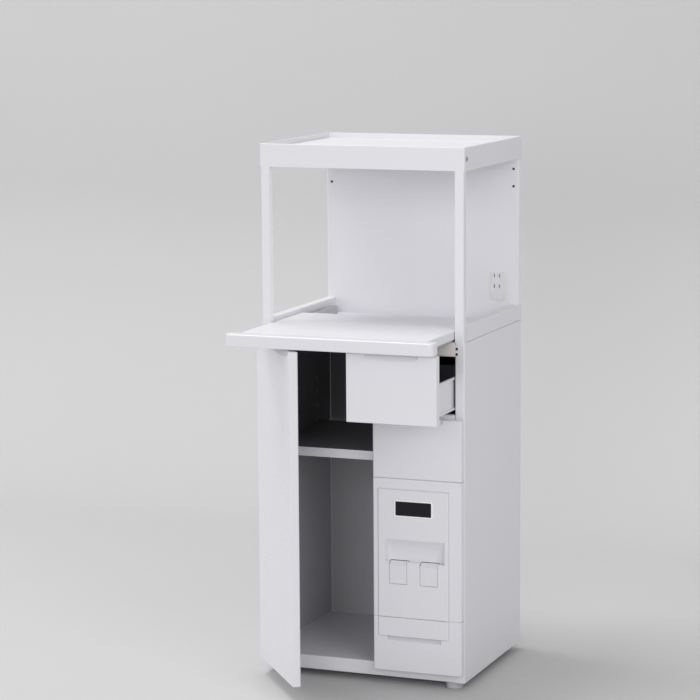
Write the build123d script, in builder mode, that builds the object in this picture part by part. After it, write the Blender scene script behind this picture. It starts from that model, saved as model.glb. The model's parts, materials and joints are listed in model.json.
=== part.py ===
"""White steel microwave stand: open bay, slide-out tray, drawer, cupboard and rice dispenser."""
import math
import os

from build123d import *

# Overall sizes, in millimetres
case_width = 480.0
case_depth = 402.0
case_height = 763.0
foot_height = 18.0
deck_height = 37.0
bay_height = 338.0
shelf_height = 51.0

# Sheet steel, tubes and shared fits
sheet = 1.2
bend = 3.0
overrun = 5.0
slide_play = 0.3
pin_play = 0.05
press_play = 0.02

# Side panels
flange_width = 22.0
flange_lip = 12.0
rear_flange = 20.0
top_flange = 20.0

# Bottom panel, partition and rails of the case, heights above the case's lower edge
base_height = 32.0
base_lip = 52.0
column_width = 206.0
partition_thick = 16.0
cross_rail_height = 31.0
cross_rail_depth = 25.0
rail_tab_inner = 12.0
rail_tab_outer = 18.0
rail_tab_margin = 2.0
drawer_rail_drop = 5.0
drawer_rail_height = 15.0
drawer_rail_depth = 20.0

# Screws
rail_screw_x_inset = 18.0
rail_screw_drop = 13.0
rail_screw_pitch = 12.0
rail_screw_head = 3.0
rail_screw_shank = 2.0
rail_screw_length = 9.0
back_screw_inset = 15.0
back_screw_drop = 24.0
back_screw_pitch = 40.0
back_screw_head = 2.8
back_screw_head_height = 1.5
back_screw_shank = 2.0
back_screw_length = 8.0
shelf_bolt_from_front = 15.0
shelf_bolt_head = 6.0
shelf_bolt_head_height = 0.8
shelf_bolt_shank = 3.0
shelf_bolt_length = 12.0
shelf_bolt_socket = 2.4
shelf_bolt_socket_depth = 1.6

# Upper frame
post_width = 20.0
post_depth = 17.0
post_inset = 2.0
back_inset = 13.0
back_taper = 3.3
back_lip = 12.0
shelf_corner = 2.5
shelf_recess = 12.0
shelf_rim = 4.0
shelf_edge = 1.5
shelf_flange = 15.0

# Outlet in the upper back panel
outlet_from_side = 54.0
outlet_rise = 46.0
outlet_width = 34.0
outlet_height = 65.0
outlet_plate_thick = 2.5
outlet_corner = 3.0
outlet_body_width = 28.0
outlet_body_height = 57.0
outlet_body_depth = 10.0
socket_pitch = 24.6
socket_slot_gap = 12.7
socket_slot_width = 2.4
socket_slot_height = 8.0
socket_slot_depth = 7.0
gland_radius = 4.5
gland_bore = 2.8
gland_length = 10.0

# Feet
foot_radius = 19.0
foot_stud_radius = 3.0
foot_stud_length = 8.0
foot_chamfer = 2.0
foot_from_side = 33.0
foot_from_front = 28.0

# Slide-out tray
tray_out = 175.0
tray_side_gap = 2.0
tray_rear_gap = 52.0
tray_skirt = 19.0
tray_top_rise = 27.0
tray_bar_depth = 30.0
tray_bar_height = 28.0
tray_bar_corner = 13.0
tray_bar_nose = 3.5
tray_bar_foot = 2.0
tray_bead_from_front = 201.0
tray_bead_width = 3.0
tray_bead_depth = 1.5
slide_width = 13.0
slide_height = 19.0
slide_from_front = 20.0
slide_rear_gap = 42.0
slide_from_skirt = 2.0
slide_bar_setback = 8.0

# Front panels: outer faces in one plane, heights above the case's lower edge
front_thick = 19.0
front_gap = 1.0
front_edge = 1.6
side_reveal = 1.0
door_seam = 2.0
front_seam = 1.2
front_bottom = 20.0
front_top_gap = 5.0
drawer_front_share = 0.20325
drawer_gap = 14.0
flap_share = 0.30333
receiver_share = 0.16667
receiver_corner = 5.0
scoop_width = 122.0
scoop_height = 14.0
scoop_depth = 7.0
scoop_sag = 3.0
scoop_round = 8.0

# Door and its hinges
door_open_angle = 51.5
door_pivot_inset = 5.0
door_pivot_back = 5.0
door_back_round = 4.0
door_scoop_from_edge = 72.0
hinge_pin_radius = 2.5
hinge_pin_length = 13.0
hinge_plate_thick = 1.8
hinge_plate_width = 16.0
hinge_plate_reach = 14.0
hinge_collar_radius = 4.0
magnet_width = 26.0
magnet_height = 14.0
magnet_depth = 20.0
magnet_proud = 0.5
strike_width = 28.0
strike_height = 12.0
strike_thick = 1.0
magnet_from_partition = 8.0

# Adjustable shelf
cupboard_shelf_drop = 255.0
cupboard_shelf_height = 20.0
cupboard_shelf_rear_gap = 42.0
cupboard_shelf_play = 0.4
cupboard_shelf_from_front = 16.0
shelf_pin_radius = 3.0
shelf_pin_length = 9.0
shelf_pin_inset = 40.0

# Drawer
drawer_out = 160.0
drawer_side_gap = 6.0
drawer_box_rise = 7.0
drawer_box_height = 71.5
drawer_rear_gap = 72.0
drawer_wall = 1.6
drawer_lip = 4.0
drawer_lip_height = 4.0
drawer_guide_from_front = 16.0
drawer_guide_rear_gap = 26.0
drawer_guide_overlap = 5.0

# Fill flap over the hopper
flap_pivot_rise = 8.0
flap_pivot_back = 14.0
flap_outer_round = 3.0
flap_inner_round = 9.0
flap_lug_thick = 4.0
flap_lug_inset = 19.0
flap_lug_radius = 3.0
flap_lug_foot = 6.0
flap_lug_setback = 10.0
flap_lug_leg = 7.0
flap_slot_play = 0.8
flap_pin_radius = 1.5
flap_pin_length = 14.0
chute_inset = 18.0
chute_wall = 2.0
chute_lift = 8.0
chute_gap = 5.8
chute_sweep = 38.0

# Dispenser panel
mould_wall = 2.5
plateau_from_left = 12.0
plateau_from_right = 29.0
plateau_from_top = 23.0
plateau_on_receiver = 43.0
plateau_rise = 2.5
plateau_groove = 1.4
plateau_groove_depth = 1.2
window_from_left = 41.0
window_from_right = 40.0
window_from_top = 49.0
window_height = 32.0
window_corner = 2.0
window_thick = 3.0
window_setback = 0.8
window_lip = 2.0
press_scoop_from_left = 17.0
press_scoop_from_right = 9.0
press_scoop_height = 51.0
press_scoop_depth = 14.0

# Paddle buttons and their springs
paddle_pitch = 72.0
paddle_width = 40.5
paddle_height = 50.0
paddle_below_block = 26.0
paddle_slope_height = 8.0
paddle_setback = 1.0
paddle_thick = 14.0
paddle_slope_depth = 12.0
paddle_gap = 1.5
paddle_edge = 0.8
paddle_pivot_rise = 4.5
paddle_pivot_depth = 6.0
paddle_hub = 4.0
paddle_pin_radius = 1.5
well_depth = 12.0
arm_width = 8.0
arm_front = 2.0
arm_thick = 6.0
arm_above_block = 11.0
arm_elbow_rise = 12.0
arm_lug_end = 16.0
arm_lug_rise = 2.5
spring_shelf_drop = 22.0
spring_shelf_reach = 22.0
spring_radius = 3.4
spring_wire = 1.0
spring_turns = 5
spring_from_lug_end = 6.0

# Hopper, metering block, gates and rice chute
hopper_side_gap = 4.0
hopper_top_gap = 8.0
hopper_wall = 2.0
hopper_front = 16.0
hopper_rear_gap = 72.0
hopper_drop_share = 0.39617
hopper_knee_rise = 34.0
hopper_rear_knee_rise = 138.0
hopper_mouth_margin = 4.0
hopper_bracket_leg = 28.0
hopper_bracket_front = 60.0
hopper_bracket_rear_gap = 30.0
block_width = 140.0
block_front = 40.0
block_back = 112.0
block_height = 36.0
chamber_width = 56.0
chamber_wall = 6.0
chamber_floor = 4.0
outlet_slot_width = 40.0
outlet_slot_length = 15.0
outlet_slot_from_back = 18.0
gate_width = 52.0
gate_thick = 3.0
gate_front = -2.0
gate_travel = 19.4
gate_hole_play = 1.2
gate_lip = 2.5
gate_lip_width = 3.0
gate_rail_width = 4.0
rice_chute_lap = 3.0
rice_chute_wall = 1.6
rice_chute_inset = 3.0
rice_chute_depth = 52.0
rice_chute_foot_width = 70.0
rice_chute_foot_depth = 40.0

# Receiver box under the dispenser
receiver_side_gap = 5.5
receiver_box_drop = 21.0
receiver_rear_gap = 162.0
receiver_wall = 2.0
receiver_round = 8.0
receiver_guide_height = 14.0
receiver_guide_from_front = 16.0
receiver_guide_rear_gap = 86.0
pull_from_left = 20.5
pull_from_right = 18.0
pull_height = 11.0
pull_depth = 11.0
pull_knee_share = 0.6

# Places worked out from the sizes above
half_width = case_width / 2
opening_half = half_width - flange_width
inner_half = half_width - sheet
case_bottom = foot_height
case_top = case_bottom + case_height
deck_top = case_top + deck_height
shelf_bottom = deck_top + bay_height
shelf_top = shelf_bottom + shelf_height
column_right = half_width - side_reveal
column_left = column_right - column_width
split_x = column_left - door_seam / 2
partition_left = split_x - partition_thick / 2
partition_right = split_x + partition_thick / 2
column_middle = (column_left + column_right) / 2
door_left = -half_width + side_reveal
door_right = split_x - door_seam / 2
door_width = door_right - door_left

# Heights above the case's lower edge: drawer and receiver take shares of the column of fronts,
# and the flap takes its share of what they leave to it and the dispenser
front_top = case_height - front_top_gap
column_height = front_top - front_bottom
drawer_front_bottom = front_top - column_height * drawer_front_share
flap_top = drawer_front_bottom - drawer_gap
receiver_top = front_bottom + column_height * receiver_share
flap_height = (flap_top - receiver_top) * flap_share
dispenser_top = flap_top - flap_height - front_seam
cupboard_shelf_top = case_height - cupboard_shelf_drop
drawer_rail_top = drawer_front_bottom - drawer_rail_drop
drawer_box_bottom = drawer_front_bottom + drawer_box_rise
hopper_top = flap_top - hopper_top_gap
hopper_bottom = dispenser_top - (dispenser_top - receiver_top) * hopper_drop_share
hopper_knee = hopper_bottom + hopper_knee_rise
hopper_rear_knee = hopper_bottom + hopper_rear_knee_rise
block_bottom = hopper_bottom - block_height
plateau_top = dispenser_top - plateau_from_top
plateau_bottom = receiver_top - plateau_on_receiver
window_top = dispenser_top - window_from_top
window_bottom = window_top - window_height
paddle_top = block_bottom - paddle_below_block
paddle_bottom = paddle_top - paddle_height
paddle_slope_start = paddle_top - paddle_slope_height
press_scoop_top = paddle_top + press_scoop_height
arm_top = block_bottom + arm_above_block
arm_elbow = paddle_bottom + arm_elbow_rise
arm_lug_bottom = paddle_bottom + arm_lug_rise
spring_shelf_top = paddle_bottom - spring_shelf_drop
rice_chute_bottom = receiver_top - rice_chute_lap
receiver_box_top = receiver_top - receiver_box_drop

# Widths in the right column, from its two sides and from the middle of the plateau
plateau_left = column_left + plateau_from_left
plateau_right = column_right - plateau_from_right
plateau_middle = (plateau_left + plateau_right) / 2
window_left = plateau_left + window_from_left
window_right = plateau_right - window_from_right
press_scoop_left = plateau_left + press_scoop_from_left
press_scoop_right = plateau_right - press_scoop_from_right
pull_left = plateau_left + pull_from_left
pull_right = plateau_right - pull_from_right
paddle_middles = (plateau_middle - paddle_pitch / 2, plateau_middle + paddle_pitch / 2)
block_left = plateau_middle - block_width / 2
block_right = plateau_middle + block_width / 2
drawer_box_left = partition_right + drawer_side_gap
drawer_box_right = opening_half - drawer_side_gap
receiver_left = partition_right + receiver_side_gap
receiver_right = opening_half - receiver_side_gap
hopper_left = partition_right + hopper_side_gap
hopper_right = opening_half - hopper_side_gap
chute_left = hopper_left + chute_inset
chute_right = hopper_right - chute_inset

# Lengths from front to back, less the room that each leaves behind it
tray_width = 2 * (opening_half - tray_side_gap)
tray_depth = case_depth - tray_rear_gap
slide_length = case_depth - slide_from_front - slide_rear_gap
cupboard_shelf_depth = case_depth - cupboard_shelf_from_front - cupboard_shelf_rear_gap
drawer_box_depth = case_depth - drawer_rear_gap
drawer_guide_length = case_depth - drawer_guide_from_front - drawer_guide_rear_gap
hopper_back = case_depth - hopper_rear_gap
hopper_bracket_length = hopper_back - hopper_bracket_front - hopper_bracket_rear_gap
receiver_depth = case_depth - receiver_rear_gap
receiver_guide_length = case_depth - receiver_guide_from_front - receiver_guide_rear_gap
back_screw_x = half_width - back_screw_inset
outlet_x = half_width - outlet_from_side

# The open door's free corner reaches furthest forward, and the whole is centred on the depth
open_turn = math.radians(door_open_angle)
door_swing_x = door_width - door_pivot_inset
door_swing_y = front_thick - door_pivot_back
door_reach = (
    front_gap
    + door_pivot_back
    + door_swing_x * math.sin(open_turn)
    + door_swing_y * math.cos(open_turn)
)
front_y = -(case_depth - door_reach) / 2
rear_y = front_y + case_depth
back_face_y = rear_y - back_inset
panel_back_y = front_y - front_gap
panel_front_y = panel_back_y - front_thick
back_sheet_y = rear_y - 2 * sheet


def level(height):
    """Height above the floor of a height given above the case's lower edge."""
    return case_bottom + height


def save(piece, name):
    """Labels a finished piece and writes it to its own file."""
    piece.part.label = name
    export_step(piece.part, f"parts/{name}.step")


def front_plane(y):
    """Upright plane facing forward at a depth, with X to the right and Z up."""
    return Plane.XZ.offset(-y)


def side_plane(x):
    """Upright plane facing right at a width, with Y to the right and Z up."""
    return Plane.YZ.offset(x)


def floor_plane(z):
    """Level plane facing up at a height."""
    return Plane.XY.offset(z)


def folded(plane, points):
    """Cross-section of folded sheet whose outer face follows the points, material on the left."""
    with BuildSketch(plane) as section:
        with BuildLine():
            outer = FilletPolyline(*points, radius=bend)
            offset(outer, amount=sheet, side=Side.LEFT)
        make_face()
    return section.sketch


def tube(plane, low, high):
    """Cross-section of a square tube with rounded outer corners between two corners."""
    middle = ((low[0] + high[0]) / 2, (low[1] + high[1]) / 2)
    size = (high[0] - low[0], high[1] - low[1])
    with BuildSketch(plane) as section:
        with Locations(middle):
            RectangleRounded(*size, bend)
            RectangleRounded(size[0] - 2 * sheet, size[1] - 2 * sheet, bend - sheet, mode=Mode.SUBTRACT)
    return section.sketch


def rectangle(plane, low, high, corner=0.0):
    """Rectangle between two corners of a plane, with its corners rounded if asked."""
    middle = ((low[0] + high[0]) / 2, (low[1] + high[1]) / 2)
    size = (high[0] - low[0], high[1] - low[1])
    with BuildSketch(plane) as shape:
        with Locations(middle):
            if corner > 0:
                RectangleRounded(*size, corner)
            else:
                Rectangle(*size)
    return shape.sketch


def polygon(plane, *points):
    """Closed outline through points of a plane."""
    with BuildSketch(plane) as shape:
        with BuildLine():
            Polyline(*points, close=True)
        make_face()
    return shape.sketch


def discs(plane, radius, *places):
    """Equal circles at places of a plane."""
    with BuildSketch(plane) as shape:
        with Locations(*places):
            Circle(radius)
    return shape.sketch


def plate(low, high, mode=Mode.ADD):
    """Flat sheet or block between two corners, joined to or cut from the piece in hand."""
    base = rectangle(floor_plane(low[2]), low[:2], high[:2])
    extrude(base, amount=high[2] - low[2], mode=mode)


def finger_scoop(plane, middle, top):
    """Shallow finger pull that slopes in towards the upper front edge of a panel."""
    left = middle - scoop_width / 2
    right = middle + scoop_width / 2
    corner_z = top - scoop_height + scoop_sag
    with BuildSketch(plane) as mouth:
        with BuildLine():
            ThreePointArc((left, corner_z), (middle, top - scoop_height), (right, corner_z))
            Polyline((right, corner_z), (right, top + overrun), (left, top + overrun), (left, corner_z))
        make_face()
        fillet(mouth.vertices().group_by(Axis.Z)[0], radius=scoop_round)
    slant = Vector(0, 0, scoop_height) - plane.z_dir * scoop_depth
    extrude(mouth.sketch, amount=slant.length, dir=slant.normalized(), mode=Mode.SUBTRACT)


os.makedirs("parts", exist_ok=True)

# Side panels: one folded sheet each, with a front flange, its return lip and a rear flange
rail_bottom = case_height - cross_rail_height
rail_screw_x = half_width - rail_screw_x_inset
rail_screw_rows = (
    level(case_height - rail_screw_drop),
    level(case_height - rail_screw_drop - rail_screw_pitch),
)
rail_screw_places = [(x, z) for x in (-rail_screw_x, rail_screw_x) for z in rail_screw_rows]

with BuildPart() as side_panel_right:
    outline = (
        (opening_half, front_y + flange_lip),
        (opening_half, front_y),
        (half_width, front_y),
        (half_width, rear_y),
        (half_width - rear_flange, rear_y),
    )
    extrude(folded(floor_plane(case_bottom), outline), amount=case_height)
    plate(
        (half_width - top_flange, front_y + sheet, case_top - sheet),
        (inner_half, rear_y - sheet, case_top),
    )
    plate(
        (opening_half - overrun, front_y + sheet, level(rail_bottom)),
        (opening_half + bend, front_y + flange_lip + overrun, case_top + overrun),
        mode=Mode.SUBTRACT,
    )
    holes = discs(front_plane(front_y + sheet), rail_screw_head + press_play, *rail_screw_places)
    extrude(holes, amount=sheet + overrun, mode=Mode.SUBTRACT)
save(side_panel_right, "side_panel_right")

with BuildPart() as side_panel_left:
    mirror(side_panel_right.part, about=Plane.YZ)
save(side_panel_left, "side_panel_left")

# Bottom panel: a folded pan with aprons at the front and rear, and wings out to the sides
floor_z = level(base_height)
foot_places = [
    (x, y)
    for x in (-half_width + foot_from_side, half_width - foot_from_side)
    for y in (front_y + foot_from_front, rear_y - foot_from_front)
]

with BuildPart() as bottom_panel:
    outline = (
        (back_sheet_y - base_lip, case_bottom),
        (back_sheet_y, case_bottom),
        (back_sheet_y, floor_z),
        (front_y, floor_z),
        (front_y, case_bottom),
        (front_y + base_lip, case_bottom),
    )
    extrude(folded(side_plane(-opening_half), outline), amount=2 * opening_half)
    for wing_left, wing_right in ((-inner_half, -opening_half), (opening_half, inner_half)):
        plate(
            (wing_left, front_y + flange_lip + bend, floor_z - sheet),
            (wing_right, back_sheet_y - bend, floor_z),
        )
    studs = discs(floor_plane(case_bottom - overrun), foot_stud_radius + press_play, *foot_places)
    extrude(studs, amount=2 * overrun, mode=Mode.SUBTRACT)
save(bottom_panel, "bottom_panel")

# Lower back panel: a plain sheet behind the case
with BuildPart() as lower_back_panel:
    plate(
        (-inner_half + bend, back_sheet_y, case_bottom),
        (inner_half - bend, rear_y - sheet, case_top - sheet),
    )
save(lower_back_panel, "lower_back_panel")

# Partition: a flat tube between the cupboard and the right column, notched for the cross rail
with BuildPart() as partition:
    wall = tube(floor_plane(floor_z), (partition_left, front_y), (partition_right, back_sheet_y))
    extrude(wall, amount=case_top - floor_z)
    plate(
        (partition_left - overrun, front_y - overrun, level(rail_bottom)),
        (partition_right + overrun, front_y + cross_rail_depth, case_top + overrun),
        mode=Mode.SUBTRACT,
    )
save(partition, "partition")

# Cross rail: a folded channel under the tray, with tabs behind the side flanges
with BuildPart() as cross_rail:
    outline = (
        (front_y + cross_rail_depth, case_top),
        (front_y, case_top),
        (front_y, level(rail_bottom)),
        (front_y + cross_rail_depth, level(rail_bottom)),
    )
    extrude(folded(side_plane(-opening_half), outline), amount=2 * opening_half)
    for end in (-1, 1):
        tab_ends = sorted((end * (opening_half - rail_tab_inner), end * (opening_half + rail_tab_outer)))
        plate(
            (tab_ends[0], front_y + sheet, level(rail_bottom) + bend),
            (tab_ends[1], front_y + 2 * sheet, case_top - bend - rail_tab_margin),
        )
    holes = discs(front_plane(front_y + 2 * sheet), rail_screw_shank + press_play, *rail_screw_places)
    extrude(holes, amount=sheet, mode=Mode.SUBTRACT)
save(cross_rail, "cross_rail")

with BuildPart() as rail_screws:
    extrude(discs(front_plane(front_y + sheet), rail_screw_head, *rail_screw_places), amount=sheet)
    shanks = discs(front_plane(front_y + rail_screw_length), rail_screw_shank, *rail_screw_places)
    extrude(shanks, amount=rail_screw_length - sheet)
save(rail_screws, "rail_screws")

# Drawer rail: a small channel below the drawer, from the partition to the right flange
with BuildPart() as drawer_rail:
    outline = (
        (front_y + drawer_rail_depth, level(drawer_rail_top)),
        (front_y, level(drawer_rail_top)),
        (front_y, level(drawer_rail_top - drawer_rail_height)),
        (front_y + drawer_rail_depth, level(drawer_rail_top - drawer_rail_height)),
    )
    extrude(folded(side_plane(partition_right), outline), amount=opening_half - partition_right)
save(drawer_rail, "drawer_rail")

# Feet: turned discs with a stud into the base
with BuildPart() as foot_blank:
    with BuildSketch(Plane.XZ):
        with BuildLine():
            Polyline(
                (0, 0),
                (foot_radius - foot_chamfer, 0),
                (foot_radius, foot_chamfer),
                (foot_radius, foot_height),
                (foot_stud_radius, foot_height),
                (foot_stud_radius, foot_height + foot_stud_length),
                (0, foot_height + foot_stud_length),
                close=True,
            )
        make_face()
    revolve(axis=Axis.Z)

foot_names = ("foot_front_left", "foot_rear_left", "foot_front_right", "foot_rear_right")
for foot_name, place in zip(foot_names, foot_places):
    with BuildPart() as foot:
        with Locations(place):
            add(foot_blank.part)
    save(foot, foot_name)

# Deck: two tube rails on the side panels, an angle post before each and a flat sheet between them
for side, sign in (("left", -1), ("right", 1)):
    edges = sorted((sign * opening_half, sign * half_width))
    with BuildPart() as deck_rail:
        section = tube(front_plane(rear_y), (edges[0], case_top), (edges[1], deck_top))
        extrude(section, amount=case_depth - post_depth)
    save(deck_rail, f"deck_rail_{side}")

    post_outer = sign * (half_width - post_inset)
    outline = (
        (post_outer - sign * post_width, front_y),
        (post_outer, front_y),
        (post_outer, front_y + post_depth),
    )
    with BuildPart() as front_post:
        section = folded(floor_plane(case_top), outline[::sign])
        extrude(section, amount=shelf_bottom - case_top)
    save(front_post, f"front_post_{side}")

with BuildPart() as deck_panel:
    plate((-opening_half, front_y + sheet, case_top), (opening_half, rear_y - sheet, case_top + sheet))
save(deck_panel, "deck_panel")

# Upper back panel: a wide channel open to the rear, with an apron down to the deck
back_screw_rows = (shelf_bottom - back_screw_drop, shelf_bottom - back_screw_drop - back_screw_pitch)
back_screw_places = [(x, z) for x in (-back_screw_x, back_screw_x) for z in back_screw_rows]
outlet_z = case_top + outlet_rise + outlet_height / 2
outlet_low = (outlet_x - outlet_body_width / 2, outlet_z - outlet_body_height / 2)
outlet_high = (outlet_x + outlet_body_width / 2, outlet_z + outlet_body_height / 2)

with BuildPart() as upper_back_panel:
    outline = (
        (-half_width + back_lip, rear_y),
        (-half_width, rear_y),
        (-half_width + back_taper, back_face_y),
        (half_width - back_taper, back_face_y),
        (half_width, rear_y),
        (half_width - back_lip, rear_y),
    )
    extrude(folded(floor_plane(deck_top), outline), amount=bay_height)
    plate(
        (-opening_half, back_face_y, case_top + sheet),
        (opening_half, back_face_y + sheet, deck_top),
    )
    holes = discs(front_plane(back_face_y + sheet), back_screw_shank + press_play, *back_screw_places)
    extrude(holes, amount=sheet, mode=Mode.SUBTRACT)
    window = rectangle(front_plane(back_face_y + sheet), outlet_low, outlet_high)
    extrude(window, amount=sheet, mode=Mode.SUBTRACT)
save(upper_back_panel, "upper_back_panel")

with BuildPart() as back_screws:
    heads = discs(front_plane(back_face_y), back_screw_head, *back_screw_places)
    extrude(heads, amount=back_screw_head_height)
    head_edges = back_screws.faces().sort_by(Axis.Y)[: len(back_screw_places)].edges()
    fillet(head_edges, radius=back_screw_head_height / 2)
    shanks = discs(front_plane(back_face_y + back_screw_length), back_screw_shank, *back_screw_places)
    extrude(shanks, amount=back_screw_length)
save(back_screws, "back_screws")

# Double outlet: a face plate with slots above its middle, its body behind and the gland for its lead
socket_rows = (outlet_z, outlet_z + socket_pitch)
slot_places = [(outlet_x + sign * socket_slot_gap / 2, z) for sign in (-1, 1) for z in socket_rows]

with BuildPart() as outlet_plate:
    face = rectangle(
        front_plane(back_face_y),
        (outlet_x - outlet_width / 2, outlet_z - outlet_height / 2),
        (outlet_x + outlet_width / 2, outlet_z + outlet_height / 2),
        outlet_corner,
    )
    extrude(face, amount=outlet_plate_thick)
    fillet(outlet_plate.faces().sort_by(Axis.Y)[0].edges(), radius=outlet_plate_thick / 3)
    with BuildSketch(front_plane(back_face_y)) as slots:
        with Locations(*slot_places):
            Rectangle(socket_slot_width, socket_slot_height)
    extrude(amount=outlet_plate_thick, mode=Mode.SUBTRACT)
save(outlet_plate, "outlet_plate")

with BuildPart() as outlet_body:
    extrude(
        rectangle(front_plane(back_face_y + outlet_body_depth), outlet_low, outlet_high),
        amount=outlet_body_depth,
    )
    with BuildSketch(front_plane(back_face_y)) as slots:
        with Locations(*slot_places):
            Rectangle(socket_slot_width, socket_slot_height)
    extrude(amount=-socket_slot_depth, mode=Mode.SUBTRACT)
    gland_centre = (outlet_x, back_face_y + sheet + outlet_body_depth / 2)
    gland_plane = floor_plane(outlet_low[1])
    extrude(discs(gland_plane, gland_radius, gland_centre), amount=-gland_length)
    extrude(discs(gland_plane, gland_bore, gland_centre), amount=-gland_length, mode=Mode.SUBTRACT)
save(outlet_body, "outlet_body")

# Top shelf: a deep-rimmed tray, recessed on top and hollow underneath with inward flanges
shelf_plate_z = shelf_top - shelf_recess
shelf_bolt_y = front_y + shelf_bolt_from_front
shelf_bolt_z = shelf_bottom + shelf_height / 2

with BuildPart() as top_shelf:
    outer = rectangle(floor_plane(shelf_bottom), (-half_width, front_y), (half_width, rear_y), shelf_corner)
    extrude(outer, amount=shelf_height)
    fillet(top_shelf.faces().sort_by(Axis.Z)[-1].edges(), radius=shelf_edge)
    recess = rectangle(
        floor_plane(shelf_plate_z),
        (-half_width + shelf_rim, front_y + shelf_rim),
        (half_width - shelf_rim, rear_y - shelf_rim),
    )
    extrude(recess, amount=shelf_recess, mode=Mode.SUBTRACT)
    hollow = rectangle(
        floor_plane(shelf_bottom + sheet),
        (-inner_half, front_y + sheet),
        (inner_half, rear_y - sheet),
        shelf_corner - sheet,
    )
    extrude(hollow, amount=shelf_plate_z - shelf_bottom - 2 * sheet, mode=Mode.SUBTRACT)
    mouth = rectangle(
        floor_plane(shelf_bottom - overrun),
        (-half_width + shelf_flange, front_y + shelf_flange + post_depth),
        (half_width - shelf_flange, back_face_y - bend),
    )
    extrude(mouth, amount=2 * overrun, mode=Mode.SUBTRACT)
    for x in (-half_width, inner_half):
        hole = discs(side_plane(x), shelf_bolt_shank + press_play, (shelf_bolt_y, shelf_bolt_z))
        extrude(hole, amount=sheet, mode=Mode.SUBTRACT)
save(top_shelf, "top_shelf")

with BuildPart() as shelf_bolts:
    place = (shelf_bolt_y, shelf_bolt_z)
    for face_x, outward in ((-half_width, -1), (half_width, 1)):
        extrude(discs(side_plane(face_x), shelf_bolt_head, place), amount=outward * shelf_bolt_head_height)
        extrude(discs(side_plane(face_x), shelf_bolt_shank, place), amount=-outward * shelf_bolt_length)
        with BuildSketch(side_plane(face_x + outward * shelf_bolt_head_height)) as socket:
            with Locations(place):
                RegularPolygon(shelf_bolt_socket, 6)
        extrude(amount=-outward * shelf_bolt_socket_depth, mode=Mode.SUBTRACT)
save(shelf_bolts, "shelf_bolts")

# Slide-out tray: a folded plate with skirts, carried on a channel slide at each side
tray_half = tray_width / 2
tray_top_z = case_top + tray_top_rise
tray_front_y = panel_back_y - tray_out
tray_rear_y = tray_front_y + tray_depth
slide_outer = tray_half - sheet
slide_web_x = slide_outer - slide_width
slide_z = case_top + sheet

with BuildPart() as tray_plate:
    outline = (
        (tray_half, tray_top_z - tray_skirt),
        (tray_half, tray_top_z),
        (-tray_half, tray_top_z),
        (-tray_half, tray_top_z - tray_skirt),
    )
    extrude(folded(front_plane(tray_rear_y), outline), amount=tray_depth)
    plate(
        (-slide_web_x + slide_from_skirt, tray_rear_y - sheet, tray_top_z - tray_skirt),
        (slide_web_x - slide_from_skirt, tray_rear_y, tray_top_z - sheet),
    )
    bead_y = tray_front_y + tray_bead_from_front
    bead_z = tray_top_z - tray_bead_depth
    bead_half = tray_bead_width / 2
    swage = polygon(
        side_plane(-slide_web_x),
        (bead_y - bead_half - sheet, tray_top_z - sheet / 2),
        (bead_y - bead_half - sheet, tray_top_z - sheet),
        (bead_y, bead_z - sheet),
        (bead_y + bead_half + sheet, tray_top_z - sheet),
        (bead_y + bead_half + sheet, tray_top_z - sheet / 2),
    )
    extrude(swage, amount=2 * slide_web_x)
    groove = polygon(
        side_plane(-slide_web_x),
        (bead_y - bead_half, tray_top_z),
        (bead_y, bead_z),
        (bead_y + bead_half, tray_top_z),
    )
    extrude(groove, amount=2 * slide_web_x, mode=Mode.SUBTRACT)
save(tray_plate, "tray_plate")

with BuildPart() as tray_front_bar:
    with BuildSketch(floor_plane(tray_top_z - tray_bar_height)):
        with Locations((0, tray_front_y - tray_bar_depth / 2)):
            Rectangle(case_width, tray_bar_depth)
    extrude(amount=tray_bar_height)
    uprights = tray_front_bar.edges().filter_by(Axis.Z).group_by(Axis.Y)[0]
    fillet(uprights, radius=tray_bar_corner)
    rim = tray_front_bar.faces().sort_by(Axis.Z)[-1].edges()
    fillet(rim.filter_by(lambda e: e.center().Y < tray_front_y - sheet), radius=tray_bar_nose)
    sole = tray_front_bar.faces().sort_by(Axis.Z)[0].edges()
    fillet(sole.filter_by(lambda e: e.center().Y < tray_front_y - sheet), radius=tray_bar_foot)
save(tray_front_bar, "tray_front_bar")

for side, sign in (("left", -1), ("right", 1)):
    with BuildPart() as slide_fixed:
        outline = [
            (slide_outer - slide_from_skirt, slide_z + slide_height),
            (slide_web_x, slide_z + slide_height),
            (slide_web_x, slide_z),
            (slide_outer - slide_from_skirt, slide_z),
        ]
        if sign < 0:
            outline = [(-x, z) for x, z in reversed(outline)]
        section = folded(front_plane(front_y + slide_from_front + slide_length), outline)
        extrude(section, amount=slide_length)
    save(slide_fixed, f"slide_fixed_{side}")

    bar_low = (slide_web_x + sheet + slide_play, slide_z + sheet + slide_play)
    bar_high = (slide_outer, slide_z + slide_height - sheet - slide_play)
    bar_edges = sorted((sign * bar_low[0], sign * bar_high[0]))
    bar_back_y = tray_front_y + slide_bar_setback + slide_length
    with BuildPart() as slide_moving:
        section = tube(front_plane(bar_back_y), (bar_edges[0], bar_low[1]), (bar_edges[1], bar_high[1]))
        extrude(section, amount=slide_length)
    save(slide_moving, f"slide_moving_{side}")

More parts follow.
